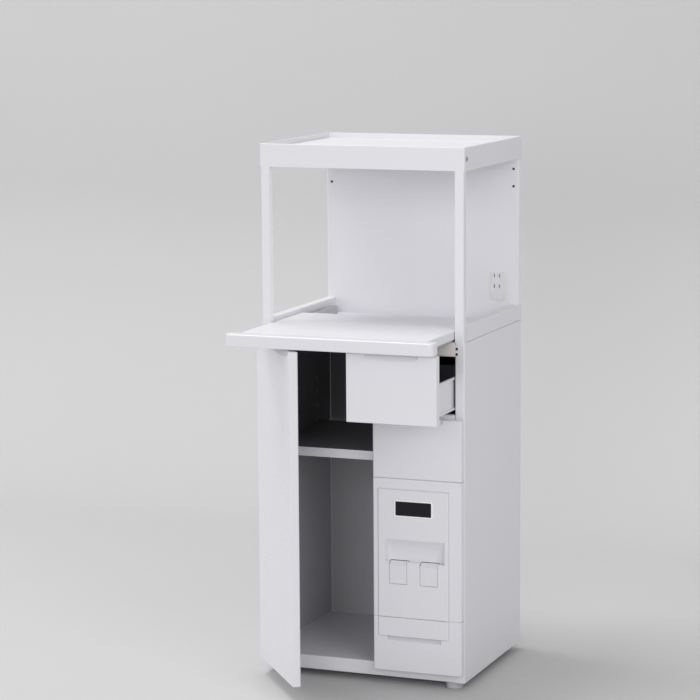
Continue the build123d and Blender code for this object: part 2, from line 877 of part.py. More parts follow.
# Door: a thick panel that swings on two pivot pins at its left edge, shown standing open
pivot_x = door_left + door_pivot_inset
pivot_y = panel_back_y - door_pivot_back
door_turn_x = Vector(math.cos(open_turn), -math.sin(open_turn), 0)
door_outward = Vector(-math.sin(open_turn), -math.cos(open_turn), 0)
door_base = Plane(origin=(pivot_x, pivot_y, level(front_bottom)), x_dir=door_turn_x, z_dir=(0, 0, 1))
door_height = front_top - front_bottom
door_face = Plane(
    origin=Vector(pivot_x, pivot_y, 0) + door_outward * door_swing_y,
    x_dir=door_turn_x,
    z_dir=door_outward,
)
door_inner = Plane(
    origin=Vector(pivot_x, pivot_y, 0) - door_outward * door_pivot_back,
    x_dir=door_turn_x,
    z_dir=door_outward,
)
magnet_right = partition_left - magnet_from_partition
magnet_middle = magnet_right - magnet_width / 2
strike_middle = (magnet_middle - pivot_x, level(rail_bottom) - magnet_height / 2)

with BuildPart() as door_panel:
    board = rectangle(
        door_base,
        (-door_pivot_inset, door_pivot_back - front_thick),
        (door_swing_x, door_pivot_back),
    )
    extrude(board, amount=door_height)
    face = door_panel.faces().sort_by(SortBy.AREA)[-2:].sort_by(Axis((0, 0, 0), door_outward))[-1]
    fillet(face.edges(), radius=front_edge)
    inner = door_panel.faces().sort_by(SortBy.AREA)[-2:].sort_by(Axis((0, 0, 0), door_outward))[0]
    fillet(inner.edges().filter_by(Axis.Z), radius=door_back_round)
    finger_scoop(door_face, door_swing_x - door_scoop_from_edge, level(front_top))
    bore_radius = hinge_pin_radius + pin_play
    extrude(discs(door_base, bore_radius, (0, 0)), amount=hinge_pin_length + slide_play, mode=Mode.SUBTRACT)
    top_plane = door_base.offset(door_height)
    extrude(discs(top_plane, bore_radius, (0, 0)), amount=-hinge_pin_length - slide_play, mode=Mode.SUBTRACT)
    with BuildSketch(door_inner) as strike_seat:
        with Locations(strike_middle):
            Rectangle(strike_width, strike_height)
    extrude(amount=strike_thick, mode=Mode.SUBTRACT)
save(door_panel, "door_panel")

with BuildPart() as door_strike:
    with BuildSketch(door_inner) as strike_plate:
        with Locations(strike_middle):
            Rectangle(strike_width, strike_height)
    extrude(amount=strike_thick)
save(door_strike, "door_strike")

with BuildPart() as magnet_catch:
    plate(
        (magnet_right - magnet_width, front_y - magnet_proud, level(rail_bottom) - magnet_height),
        (magnet_right, front_y + magnet_depth, level(rail_bottom)),
    )
    fillet(magnet_catch.edges().filter_by(Axis.Y), radius=magnet_proud)
save(magnet_catch, "magnet_catch")

# Pivot hinges: a tab on the side flange with a pin into the door's lower or upper edge
hinge_right = -half_width + hinge_plate_width
for hinge_name, door_end, up in (
    ("door_hinge_lower", level(front_bottom), 1),
    ("door_hinge_upper", level(front_top), -1),
):
    with BuildPart() as hinge:
        collar_z = door_end - up * slide_play
        plate_z = collar_z - up * (front_gap - slide_play)
        tab = rectangle(
            floor_plane(plate_z),
            (-half_width, pivot_y - hinge_plate_reach / 2),
            (hinge_right, front_y),
        )
        extrude(tab, amount=-up * hinge_plate_thick)
        collar = discs(floor_plane(plate_z), hinge_collar_radius, (pivot_x, pivot_y))
        extrude(collar, amount=up * (front_gap - slide_play))
        pin = discs(floor_plane(collar_z), hinge_pin_radius, (pivot_x, pivot_y))
        extrude(pin, amount=up * (hinge_pin_length + slide_play))
    save(hinge, hinge_name)

# Adjustable shelf: a folded pan on four pins
shelf_left_x = -inner_half + cupboard_shelf_play
shelf_right_x = partition_left - cupboard_shelf_play
shelf_z = level(cupboard_shelf_top)
shelf_front_y = front_y + cupboard_shelf_from_front
with BuildPart() as cupboard_shelf:
    outline = (
        (shelf_right_x, shelf_z - cupboard_shelf_height),
        (shelf_right_x, shelf_z),
        (shelf_left_x, shelf_z),
        (shelf_left_x, shelf_z - cupboard_shelf_height),
    )
    extrude(folded(front_plane(shelf_front_y + cupboard_shelf_depth), outline), amount=cupboard_shelf_depth)
    for apron_y in (shelf_front_y, shelf_front_y + cupboard_shelf_depth - sheet):
        plate(
            (shelf_left_x + bend, apron_y, shelf_z - cupboard_shelf_height),
            (shelf_right_x - bend, apron_y + sheet, shelf_z - sheet),
        )
save(cupboard_shelf, "cupboard_shelf")

with BuildPart() as shelf_pins:
    pin_z = shelf_z - cupboard_shelf_height - shelf_pin_radius
    pin_rows = (
        shelf_front_y + shelf_pin_inset,
        shelf_front_y + cupboard_shelf_depth - shelf_pin_inset,
    )
    pin_places = [(y, pin_z) for y in pin_rows]
    extrude(discs(side_plane(-inner_half), shelf_pin_radius, *pin_places), amount=shelf_pin_length)
    extrude(discs(side_plane(partition_left), shelf_pin_radius, *pin_places), amount=-shelf_pin_length)
save(shelf_pins, "shelf_pins")

# Drawer: a thick front on a low sheet box whose lower lips run in two guides
drawer_front_y = panel_front_y - drawer_out
drawer_back_y = panel_back_y - drawer_out
with BuildPart() as drawer_front:
    board = rectangle(
        front_plane(drawer_back_y),
        (column_left, level(drawer_front_bottom)),
        (column_right, level(front_top)),
    )
    extrude(board, amount=front_thick)
    fillet(drawer_front.faces().sort_by(Axis.Y)[0].edges(), radius=front_edge)
    finger_scoop(front_plane(drawer_front_y), column_middle, level(front_top))
save(drawer_front, "drawer_front")

drawer_floor_z = level(drawer_box_bottom)
drawer_rim_z = drawer_floor_z + drawer_box_height
drawer_rear_y = drawer_back_y + drawer_box_depth
with BuildPart() as drawer_box:
    outline = (
        (drawer_box_left - drawer_lip, drawer_floor_z),
        (drawer_box_right + drawer_lip, drawer_floor_z),
        (drawer_box_right + drawer_lip, drawer_floor_z + drawer_lip_height),
        (drawer_box_right, drawer_floor_z + drawer_lip_height),
        (drawer_box_right, drawer_rim_z - drawer_lip_height),
        (drawer_box_right + drawer_lip, drawer_rim_z - drawer_lip_height),
        (drawer_box_right + drawer_lip, drawer_rim_z),
        (drawer_box_right - drawer_wall, drawer_rim_z),
        (drawer_box_right - drawer_wall, drawer_floor_z + drawer_wall),
        (drawer_box_left + drawer_wall, drawer_floor_z + drawer_wall),
        (drawer_box_left + drawer_wall, drawer_rim_z),
        (drawer_box_left - drawer_lip, drawer_rim_z),
        (drawer_box_left - drawer_lip, drawer_rim_z - drawer_lip_height),
        (drawer_box_left, drawer_rim_z - drawer_lip_height),
        (drawer_box_left, drawer_floor_z + drawer_lip_height),
        (drawer_box_left - drawer_lip, drawer_floor_z + drawer_lip_height),
    )
    extrude(polygon(front_plane(drawer_rear_y), *outline), amount=drawer_box_depth)
    for wall_y in (drawer_back_y, drawer_rear_y - drawer_wall):
        plate(
            (drawer_box_left + drawer_wall, wall_y, drawer_floor_z + drawer_wall),
            (drawer_box_right - drawer_wall, wall_y + drawer_wall, drawer_rim_z),
        )
save(drawer_box, "drawer_box")

guide_back_y = front_y + drawer_guide_from_front + drawer_guide_length
guide_low_z = drawer_floor_z - slide_play - sheet
guide_high_z = drawer_floor_z + drawer_lip_height + slide_play
for side, sign, lip_x, wall_x in (
    ("left", -1, drawer_box_left - drawer_lip, partition_right),
    ("right", 1, drawer_box_right + drawer_lip, inner_half),
):
    web_x = lip_x + sign * slide_play
    with BuildPart() as drawer_guide:
        outline = (
            (wall_x, guide_low_z),
            (lip_x - sign * (drawer_lip + drawer_guide_overlap), guide_low_z),
            (lip_x - sign * (drawer_lip + drawer_guide_overlap), guide_low_z + sheet),
            (web_x, guide_low_z + sheet),
            (web_x, guide_high_z),
            (lip_x - sign * drawer_lip / 2, guide_high_z),
            (lip_x - sign * drawer_lip / 2, guide_high_z + sheet),
            (wall_x, guide_high_z + sheet),
        )
        extrude(polygon(front_plane(guide_back_y), *outline), amount=drawer_guide_length)
    save(drawer_guide, f"drawer_guide_{side}")

# Fill flap: tilts out at the top on two pins near its lower edge, with a pouring chute behind
flap_bottom = dispenser_top + front_seam
flap_pivot_y = panel_back_y - flap_pivot_back
flap_pivot_z = level(flap_bottom + flap_pivot_rise)
chute_radius = level(drawer_rail_top - drawer_rail_height) - flap_pivot_z - chute_gap
flap_lug_middles = (column_left + flap_lug_inset, half_width - flange_width - flap_lug_inset)
with BuildPart() as fill_flap:
    board = rectangle(
        front_plane(panel_back_y),
        (column_left, level(flap_bottom)),
        (column_right, level(flap_top)),
    )
    extrude(board, amount=front_thick)
    sole = fill_flap.faces().sort_by(Axis.Z)[0].edges().filter_by(Axis.X).sort_by(Axis.Y)
    fillet(sole[0], radius=flap_outer_round)
    sole = fill_flap.faces().sort_by(Axis.Z)[0].edges().filter_by(Axis.X).sort_by(Axis.Y)
    fillet(sole[-1], radius=flap_inner_round)
    rims = fill_flap.faces().sort_by(Axis.Y)[0].edges()
    rims = rims.filter_by(lambda e: e.center().Z > level(flap_bottom + 2 * flap_outer_round))
    fillet(rims, radius=front_edge)
    finger_scoop(front_plane(panel_front_y), column_middle, level(flap_top))
    slot_reach = flap_lug_radius + flap_slot_play
    slot_half = flap_lug_thick / 2 + flap_slot_play
    for middle in flap_lug_middles:
        plate(
            (middle - slot_half, flap_pivot_y - slot_reach, level(flap_bottom) - overrun),
            (middle + slot_half, panel_back_y + overrun, flap_pivot_z + slot_reach),
            mode=Mode.SUBTRACT,
        )
        pin_hole = discs(
            side_plane(middle - flap_pin_length / 2),
            flap_pin_radius + press_play,
            (flap_pivot_y, flap_pivot_z),
        )
        extrude(pin_hole, amount=flap_pin_length, mode=Mode.SUBTRACT)
save(fill_flap, "fill_flap")

with BuildPart() as flap_pins:
    for middle in flap_lug_middles:
        pin = discs(side_plane(middle - flap_pin_length / 2), flap_pin_radius, (flap_pivot_y, flap_pivot_z))
        extrude(pin, amount=flap_pin_length)
save(flap_pins, "flap_pins")

with BuildPart() as fill_chute:
    chute_low_z = flap_pivot_z + chute_lift
    chute_high_z = flap_pivot_z + math.sqrt(chute_radius**2 - flap_pivot_back**2)
    plate(
        (chute_left, panel_back_y, chute_low_z),
        (chute_right, panel_back_y + chute_wall, chute_high_z),
    )
    sweep_angle = math.radians(chute_sweep)
    tip = (
        flap_pivot_y + chute_radius * math.sin(sweep_angle),
        flap_pivot_z + chute_radius * math.cos(sweep_angle),
    )
    half_angle = (sweep_angle + math.asin(flap_pivot_back / chute_radius)) / 2
    crown = (
        flap_pivot_y + chute_radius * math.sin(half_angle),
        flap_pivot_z + chute_radius * math.cos(half_angle),
    )
    for cheek_x in (chute_left, chute_right - chute_wall):
        with BuildSketch(side_plane(cheek_x)) as cheek:
            with BuildLine():
                Line((panel_back_y, chute_low_z), (panel_back_y, chute_high_z))
                ThreePointArc((panel_back_y, chute_high_z), crown, tip)
                Line(tip, (panel_back_y, chute_low_z))
            make_face()
        extrude(amount=chute_wall)
save(fill_chute, "fill_chute")

# Dispenser panel: a hollow moulding with a raised plateau, window, finger scoop and button wells
plateau_front_y = panel_front_y - plateau_rise
groove_floor_y = panel_front_y + plateau_groove_depth
dispenser_bottom = receiver_top + front_seam
wells = [
    (
        (left - paddle_gap, level(paddle_bottom) - paddle_gap),
        (left + paddle_width + paddle_gap, level(paddle_top) + paddle_gap),
    )
    for left in (middle - paddle_width / 2 for middle in paddle_middles)
]
paddle_front_y = plateau_front_y + paddle_setback
paddle_pivot_y = paddle_front_y + paddle_pivot_depth
paddle_pivot_z = level(paddle_bottom + paddle_pivot_rise)
well_back_y = panel_front_y + well_depth
scoop_top_z = level(press_scoop_top)
scoop_foot_z = level(paddle_top)
scoop_floor_y = plateau_front_y + press_scoop_depth

with BuildPart() as dispenser_panel:
    board = rectangle(
        front_plane(front_y),
        (column_left, level(dispenser_bottom)),
        (column_right, level(dispenser_top)),
    )
    extrude(board, amount=front_thick + front_gap)
    rims = dispenser_panel.faces().sort_by(Axis.Y)[0].edges().filter_by(Axis.Z)
    fillet(rims, radius=front_edge)
    pocket = rectangle(
        front_plane(groove_floor_y),
        (plateau_left - plateau_groove, level(dispenser_bottom) - overrun),
        (plateau_right + plateau_groove, level(plateau_top) + plateau_groove),
    )
    extrude(pocket, amount=plateau_groove_depth, mode=Mode.SUBTRACT)
    plateau = rectangle(
        front_plane(groove_floor_y),
        (plateau_left, level(dispenser_bottom)),
        (plateau_right, level(plateau_top)),
    )
    extrude(plateau, amount=plateau_groove_depth + plateau_rise)
    raised = dispenser_panel.faces().sort_by(Axis.Y)[0].edges()
    raised = raised.filter_by(lambda e: e.center().Z > level(dispenser_bottom) + overrun)
    fillet(raised, radius=plateau_rise / 2)
    hollow = rectangle(
        front_plane(front_y),
        (column_left + mould_wall, level(dispenser_bottom) + mould_wall),
        (column_right - mould_wall, level(dispenser_top) - mould_wall),
    )
    extrude(hollow, amount=front_thick + front_gap - mould_wall, mode=Mode.SUBTRACT)
    backing = polygon(
        side_plane(press_scoop_left - mould_wall),
        (panel_front_y, scoop_top_z + mould_wall),
        (panel_front_y + mould_wall, scoop_top_z + mould_wall),
        (scoop_floor_y + mould_wall, (scoop_top_z + scoop_foot_z) / 2),
        (scoop_floor_y + mould_wall, scoop_foot_z - mould_wall),
        (panel_front_y, scoop_foot_z - mould_wall),
    )
    extrude(backing, amount=press_scoop_right - press_scoop_left + 2 * mould_wall)
    for low, high in wells:
        frame_low = (low[0] - mould_wall, low[1] - mould_wall)
        frame_high = (high[0] + mould_wall, high[1] + mould_wall)
        extrude(rectangle(front_plane(well_back_y), frame_low, frame_high), amount=well_depth)
    with BuildSketch(side_plane(press_scoop_left)) as cove:
        with BuildLine():
            arc = TangentArc((scoop_floor_y, scoop_foot_z), (plateau_front_y, scoop_top_z), tangent=(0, 1))
            Polyline(
                arc @ 1,
                (plateau_front_y - overrun, scoop_top_z),
                (plateau_front_y - overrun, scoop_foot_z),
                arc @ 0,
            )
        make_face()
    extrude(amount=press_scoop_right - press_scoop_left, mode=Mode.SUBTRACT)
    for low, high in wells:
        extrude(
            rectangle(front_plane(front_y), low, high),
            amount=front_y - plateau_front_y + overrun,
            mode=Mode.SUBTRACT,
        )
        pivot_hole = discs(
            side_plane(low[0] - mould_wall),
            paddle_pin_radius + press_play,
            (paddle_pivot_y, paddle_pivot_z),
        )
        extrude(pivot_hole, amount=high[0] - low[0] + 2 * mould_wall, mode=Mode.SUBTRACT)
    pane = rectangle(
        front_plane(panel_front_y + mould_wall),
        (window_left, level(window_bottom)),
        (window_right, level(window_top)),
        window_corner,
    )
    extrude(pane, amount=mould_wall + plateau_rise, mode=Mode.SUBTRACT)
    plate(
        (wells[0][0][0], panel_front_y + mould_wall / 2, level(spring_shelf_top) - mould_wall),
        (wells[1][1][0], front_y + spring_shelf_reach, level(spring_shelf_top)),
    )
    for middle in flap_lug_middles:
        lug = polygon(
            side_plane(middle - flap_lug_thick / 2),
            (front_y - flap_lug_foot, level(dispenser_top) - flap_lug_foot),
            (front_y + flap_lug_setback, level(dispenser_top) - flap_lug_foot),
            (front_y + flap_lug_setback, flap_pivot_z + flap_lug_radius),
            (flap_pivot_y, flap_pivot_z + flap_lug_radius),
            (flap_pivot_y, flap_pivot_z - flap_lug_radius),
            (front_y + flap_lug_setback - flap_lug_leg, flap_pivot_z - flap_lug_radius),
            (front_y + flap_lug_setback - flap_lug_leg, level(dispenser_top)),
            (front_y - flap_lug_foot, level(dispenser_top)),
        )
        extrude(lug, amount=flap_lug_thick)
        nose = discs(side_plane(middle - flap_lug_thick / 2), flap_lug_radius, (flap_pivot_y, flap_pivot_z))
        extrude(nose, amount=flap_lug_thick)
        eye = discs(
            side_plane(middle - flap_lug_thick / 2),
            flap_pin_radius + pin_play,
            (flap_pivot_y, flap_pivot_z),
        )
        extrude(eye, amount=flap_lug_thick, mode=Mode.SUBTRACT)
save(dispenser_panel, "dispenser_panel")

# Window: a dark pane from behind, with a lip wider than its opening
with BuildPart() as level_window:
    pane = rectangle(
        front_plane(panel_front_y + mould_wall),
        (window_left, level(window_bottom)),
        (window_right, level(window_top)),
        window_corner,
    )
    extrude(pane, amount=mould_wall + plateau_rise - window_setback)
    backing = rectangle(
        front_plane(panel_front_y + mould_wall + window_thick),
        (window_left - window_lip, level(window_bottom) - window_lip),
        (window_right + window_lip, level(window_top) + window_lip),
    )
    extrude(backing, amount=window_thick)
save(level_window, "level_window")

# Paddle buttons: a sloped pad with a hub, and an arm behind that works the gate and the spring
with BuildPart() as paddle_pins:
    for low, high in wells:
        pin = discs(side_plane(low[0] - mould_wall), paddle_pin_radius, (paddle_pivot_y, paddle_pivot_z))
        extrude(pin, amount=high[0] - low[0] + 2 * mould_wall)
save(paddle_pins, "paddle_pins")

spring_y = front_y + arm_lug_end - spring_from_lug_end
spring_low_z = level(spring_shelf_top)
spring_high_z = level(arm_lug_bottom)
for side, middle in zip(("left", "right"), paddle_middles):
    left = middle - paddle_width / 2
    with BuildPart() as paddle:
        pad = polygon(
            side_plane(left),
            (paddle_front_y, level(paddle_bottom)),
            (paddle_front_y, level(paddle_slope_start)),
            (paddle_front_y + paddle_slope_depth, level(paddle_top)),
            (paddle_front_y + paddle_thick, level(paddle_top)),
            (paddle_front_y + paddle_thick, paddle_pivot_z + paddle_hub),
            (paddle_pivot_y + paddle_hub, paddle_pivot_z + paddle_hub),
            (paddle_pivot_y + paddle_hub, level(paddle_bottom)),
        )
        extrude(pad, amount=paddle_width)
        heel = paddle.faces().sort_by(Axis.Z)[0].edges().filter_by(Axis.X).sort_by(Axis.Y)[-1]
        fillet(heel, radius=paddle_hub)
        brow = paddle.faces().sort_by(Axis.Y)[0].edges()
        fillet(brow, radius=paddle_edge)
        arm = polygon(
            side_plane(middle - arm_width / 2),
            (paddle_pivot_y, level(arm_lug_bottom)),
            (front_y + arm_lug_end, level(arm_lug_bottom)),
            (front_y + arm_lug_end, level(arm_lug_bottom) + arm_thick),
            (front_y + arm_front + arm_thick, level(arm_elbow)),
            (front_y + arm_front + arm_thick, level(arm_top)),
            (front_y + arm_front, level(arm_top)),
            (front_y + arm_front, level(arm_elbow)),
            (paddle_pivot_y, paddle_pivot_z + paddle_hub),
        )
        extrude(arm, amount=arm_width)
        bore = discs(side_plane(left), paddle_pin_radius + pin_play, (paddle_pivot_y, paddle_pivot_z))
        extrude(bore, amount=paddle_width, mode=Mode.SUBTRACT)
    save(paddle, f"paddle_{side}")

    # Return spring: one wire wound between the shelf and the arm
    with BuildPart() as spring:
        spring_rise = spring_high_z - spring_low_z - spring_wire
        with BuildLine(floor_plane(spring_low_z + spring_wire / 2)) as coil:
            Helix(
                pitch=spring_rise / spring_turns,
                height=spring_rise,
                radius=spring_radius,
                center=(middle, spring_y, 0),
            )
        with BuildSketch(Plane(origin=coil.line @ 0, z_dir=coil.line % 0)):
            Circle(spring_wire / 2)
        sweep(is_frenet=True)
    save(spring, f"spring_{side}")
print("least gap between the spring's turns:", round(spring_rise / spring_turns - spring_wire, 2))

# Hopper: a bin that narrows to the front, open on top, with a mouth behind the flap
hopper_outline = (
    (front_y + hopper_front, level(hopper_top)),
    (front_y + hopper_front, level(hopper_knee)),
    (front_y + block_front, level(hopper_bottom)),
    (front_y + block_back, level(hopper_bottom)),
    (front_y + hopper_back, level(hopper_rear_knee)),
    (front_y + hopper_back, level(hopper_top)),
)
chamber_front_y = front_y + block_front + chamber_wall
chamber_back_y = front_y + block_back - chamber_wall

with BuildPart() as hopper:
    extrude(polygon(side_plane(hopper_left), *hopper_outline), amount=hopper_right - hopper_left)
    top = hopper.faces().sort_by(Axis.Z)[-1]
    offset(amount=-hopper_wall, openings=top)
    rim = rectangle(
        floor_plane(level(hopper_top) - hopper_wall),
        (partition_right, front_y + hopper_front),
        (inner_half, front_y + hopper_back),
    )
    extrude(rim, amount=hopper_wall)
    filling = rectangle(
        floor_plane(level(hopper_top) - hopper_wall),
        (hopper_left + hopper_wall, front_y + hopper_front + hopper_wall),
        (hopper_right - hopper_wall, front_y + hopper_back - hopper_wall),
    )
    extrude(filling, amount=hopper_wall, mode=Mode.SUBTRACT)
    mouth = rectangle(
        front_plane(front_y + hopper_front + hopper_wall),
        (chute_left - hopper_mouth_margin, flap_pivot_z),
        (chute_right + hopper_mouth_margin, level(hopper_top) - hopper_wall),
    )
    extrude(mouth, amount=hopper_wall, mode=Mode.SUBTRACT)
    sight = rectangle(
        front_plane(front_y + hopper_front + hopper_wall),
        (window_left, level(window_bottom)),
        (window_right, level(window_top)),
    )
    extrude(sight, amount=hopper_wall, mode=Mode.SUBTRACT)
    for middle in paddle_middles:
        plate(
            (middle - chamber_width / 2, chamber_front_y, level(hopper_bottom) - overrun),
            (middle + chamber_width / 2, chamber_back_y, level(hopper_bottom) + hopper_wall),
            mode=Mode.SUBTRACT,
        )
save(hopper, "hopper")

rim_under_z = level(hopper_top) - hopper_wall
bracket_back_y = front_y + hopper_bracket_front + hopper_bracket_length
with BuildPart() as hopper_brackets:
    for wall_x, reach_x in ((partition_right, hopper_left), (inner_half, hopper_right)):
        inward = math.copysign(sheet, reach_x - wall_x)
        outline = (
            (wall_x, rim_under_z),
            (reach_x, rim_under_z),
            (reach_x, rim_under_z - sheet),
            (wall_x + inward, rim_under_z - sheet),
            (wall_x + inward, rim_under_z - hopper_bracket_leg),
            (wall_x, rim_under_z - hopper_bracket_leg),
        )
        extrude(polygon(front_plane(bracket_back_y), *outline), amount=hopper_bracket_length)
save(hopper_brackets, "hopper_brackets")

# Metering block: two chambers over a slotted floor, with rails below for the gates
gate_top_z = level(block_bottom) - slide_play
gate_low_z = gate_top_z - gate_thick
slot_back_y = front_y + block_back - outlet_slot_from_back
slot_front_y = slot_back_y - outlet_slot_length
with BuildPart() as metering_block:
    plate(
        (block_left, front_y + block_front, level(block_bottom)),
        (block_right, front_y + block_back, level(hopper_bottom)),
    )
    for middle in paddle_middles:
        plate(
            (middle - chamber_width / 2, chamber_front_y, level(block_bottom) + chamber_floor),
            (middle + chamber_width / 2, chamber_back_y, level(hopper_bottom) + overrun),
            mode=Mode.SUBTRACT,
        )
        plate(
            (middle - outlet_slot_width / 2, slot_front_y, level(block_bottom) - overrun),
            (middle + outlet_slot_width / 2, slot_back_y, level(block_bottom) + 2 * chamber_floor),
            mode=Mode.SUBTRACT,
        )
        for sign in (-1, 1):
            edge_x = middle + sign * (gate_width / 2 + slide_play)
            lip_z = gate_low_z - slide_play
            rail = polygon(
                front_plane(front_y + block_back),
                (edge_x, level(block_bottom)),
                (edge_x + sign * gate_rail_width, level(block_bottom)),
                (edge_x + sign * gate_rail_width, lip_z - gate_lip),
                (edge_x - sign * gate_lip_width, lip_z - gate_lip),
                (edge_x - sign * gate_lip_width, lip_z),
                (edge_x, lip_z),
            )
            extrude(rail, amount=block_back - block_front)
save(metering_block, "metering_block")

# Gates: flat slides with a hole for the paddle's arm and a slot that moves under the chamber's
arm_hole_half = arm_width / 2 + gate_hole_play
arm_hole_front = front_y + arm_front - gate_hole_play
arm_hole_back = front_y + arm_front + arm_thick + gate_hole_play
for side, middle in zip(("left", "right"), paddle_middles):
    with BuildPart() as gate:
        gate_plane = floor_plane(gate_low_z)
        blank = rectangle(
            gate_plane,
            (middle - gate_width / 2, front_y + gate_front),
            (middle + gate_width / 2, front_y + block_back),
        )
        extrude(blank, amount=gate_thick)
        arm_hole = rectangle(
            gate_plane,
            (middle - arm_hole_half, arm_hole_front),
            (middle + arm_hole_half, arm_hole_back),
        )
        extrude(arm_hole, amount=gate_thick, mode=Mode.SUBTRACT)
        rice_slot = rectangle(
            gate_plane,
            (middle - outlet_slot_width / 2, slot_front_y - gate_travel),
            (middle + outlet_slot_width / 2, slot_back_y - gate_travel),
        )
        extrude(rice_slot, amount=gate_thick, mode=Mode.SUBTRACT)
    save(gate, f"gate_{side}")

# Rice chute: a funnel from the gates down to the receiver
chute_top_z = gate_low_z - slide_play - gate_lip
chute_middle = (plateau_middle, front_y + block_back - rice_chute_depth / 2)
chute_top_width = block_width - 2 * rice_chute_inset
with BuildPart() as rice_chute:
    for inset, mode in ((0, Mode.ADD), (2 * rice_chute_wall, Mode.SUBTRACT)):
        with BuildSketch(floor_plane(chute_top_z)) as funnel_top:
            with Locations(chute_middle):
                Rectangle(chute_top_width - inset, rice_chute_depth - inset)
        with BuildSketch(floor_plane(level(rice_chute_bottom))) as funnel_foot:
            with Locations(chute_middle):
                Rectangle(rice_chute_foot_width - inset, rice_chute_foot_depth - inset)
        loft(ruled=True, mode=mode)
save(rice_chute, "rice_chute")

# Receiver: a drawer under the dispenser, with the plateau's lower end as its pull
receiver_floor_z = floor_z + slide_play
with BuildPart() as receiver_front:
    board = rectangle(
        front_plane(panel_back_y),
        (column_left, level(front_bottom)),
        (column_right, level(receiver_top)),
    )
    extrude(board, amount=front_thick)
    fillet(receiver_front.edges().filter_by(Axis.Y).group_by(Axis.Z)[0], radius=receiver_corner)
    rims = receiver_front.faces().sort_by(Axis.Y)[0].edges()
    fillet(rims.filter_by(lambda e: e.center().Z < level(receiver_top) - overrun), radius=front_edge)
    pocket = rectangle(
        front_plane(groove_floor_y),
        (plateau_left - plateau_groove, level(plateau_bottom) - plateau_groove),
        (plateau_right + plateau_groove, level(receiver_top) + overrun),
    )
    extrude(pocket, amount=plateau_groove_depth, mode=Mode.SUBTRACT)
    plateau = rectangle(
        front_plane(groove_floor_y),
        (plateau_left, level(plateau_bottom)),
        (plateau_right, level(receiver_top)),
    )
    extrude(plateau, amount=plateau_groove_depth + plateau_rise)
    raised = receiver_front.faces().sort_by(Axis.Y)[0].edges()
    raised = raised.filter_by(lambda e: e.center().Z < level(receiver_top) - overrun)
    fillet(raised, radius=plateau_rise / 2)
    pull = polygon(
        side_plane(pull_left),
        (panel_front_y - overrun, level(plateau_bottom)),
        (panel_front_y + pull_depth, level(plateau_bottom)),
        (panel_front_y + pull_depth * pull_knee_share, level(plateau_bottom) - pull_height * pull_knee_share),
        (panel_front_y, level(plateau_bottom) - pull_height),
        (panel_front_y - overrun, level(plateau_bottom) - pull_height),
    )
    extrude(pull, amount=pull_right - pull_left, mode=Mode.SUBTRACT)
save(receiver_front, "receiver_front")

with BuildPart() as receiver_box:
    base = rectangle(
        floor_plane(receiver_floor_z),
        (receiver_left, panel_back_y),
        (receiver_right, panel_back_y + receiver_depth),
    )
    extrude(base, amount=level(receiver_box_top) - receiver_floor_z)
    back_corners = receiver_box.edges().filter_by(Axis.Z).group_by(Axis.Y)[-1]
    fillet(back_corners, radius=receiver_round)
    top = receiver_box.faces().sort_by(Axis.Z)[-1]
    offset(amount=-receiver_wall, openings=top)
save(receiver_box, "receiver_box")

receiver_guide_y = front_y + receiver_guide_from_front
with BuildPart() as receiver_guides:
    for low_x, high_x in (
        (partition_right, receiver_left - slide_play),
        (receiver_right + slide_play, opening_half),
    ):
        plate(
            (low_x, receiver_guide_y, floor_z),
            (high_x, receiver_guide_y + receiver_guide_length, floor_z + receiver_guide_height),
        )
save(receiver_guides, "receiver_guides")
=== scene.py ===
"""Finishes, small fittings and studio for a white kitchen stand with a tray and a rice dispenser."""
import json
import math

import bpy
import numpy as np
from bpy.props import FloatProperty, FloatVectorProperty, IntProperty, PointerProperty
from mathutils import Matrix, Vector


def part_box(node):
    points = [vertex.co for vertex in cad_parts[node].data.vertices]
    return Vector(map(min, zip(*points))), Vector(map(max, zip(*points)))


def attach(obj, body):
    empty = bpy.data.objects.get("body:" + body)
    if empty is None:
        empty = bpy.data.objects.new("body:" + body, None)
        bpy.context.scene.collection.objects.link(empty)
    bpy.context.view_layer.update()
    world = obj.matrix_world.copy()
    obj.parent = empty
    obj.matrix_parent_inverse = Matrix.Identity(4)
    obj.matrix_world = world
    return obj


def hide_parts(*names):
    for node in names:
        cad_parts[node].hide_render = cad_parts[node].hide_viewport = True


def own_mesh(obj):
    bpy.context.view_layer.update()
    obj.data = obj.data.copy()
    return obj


bl_info = {
    "name": "Kitchen Stand Dresser",
    "version": (1, 0, 0),
    "blender": (4, 5, 0),
    "location": "View3D > Sidebar > Stand",
    "description": "Gives a packed kitchen stand its paint, plastics, steel, small fittings and studio",
    "category": "Object",
}

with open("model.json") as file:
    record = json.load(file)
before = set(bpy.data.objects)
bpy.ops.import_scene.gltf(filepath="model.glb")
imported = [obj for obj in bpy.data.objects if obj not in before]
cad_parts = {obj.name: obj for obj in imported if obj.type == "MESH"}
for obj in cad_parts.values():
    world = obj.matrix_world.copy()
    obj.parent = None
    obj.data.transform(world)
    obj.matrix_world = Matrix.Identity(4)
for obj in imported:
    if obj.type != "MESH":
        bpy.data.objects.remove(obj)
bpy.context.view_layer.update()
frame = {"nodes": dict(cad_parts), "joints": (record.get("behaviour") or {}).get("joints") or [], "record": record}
case_low, case_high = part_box("side_panel_right")

# Small steps, in metres, by which an added piece sinks into a solid or stays inside its faces
skin = 0.0002
half_skin = skin / 2

# Materials by name, filled by the finishes operator
finished = {}


def colour(name, description, default):
    """A colour property in linear values."""
    return FloatVectorProperty(
        name=name, description=description, subtype="COLOR", size=3, min=0.0, max=1.0, default=default
    )


def length(name, description, default):
    """A length property in metres."""
    return FloatProperty(name=name, description=description, unit="LENGTH", default=default)


def place(name, description, default):
    """A property for a place in metres."""
    return FloatVectorProperty(name=name, description=description, subtype="TRANSLATION", default=default)


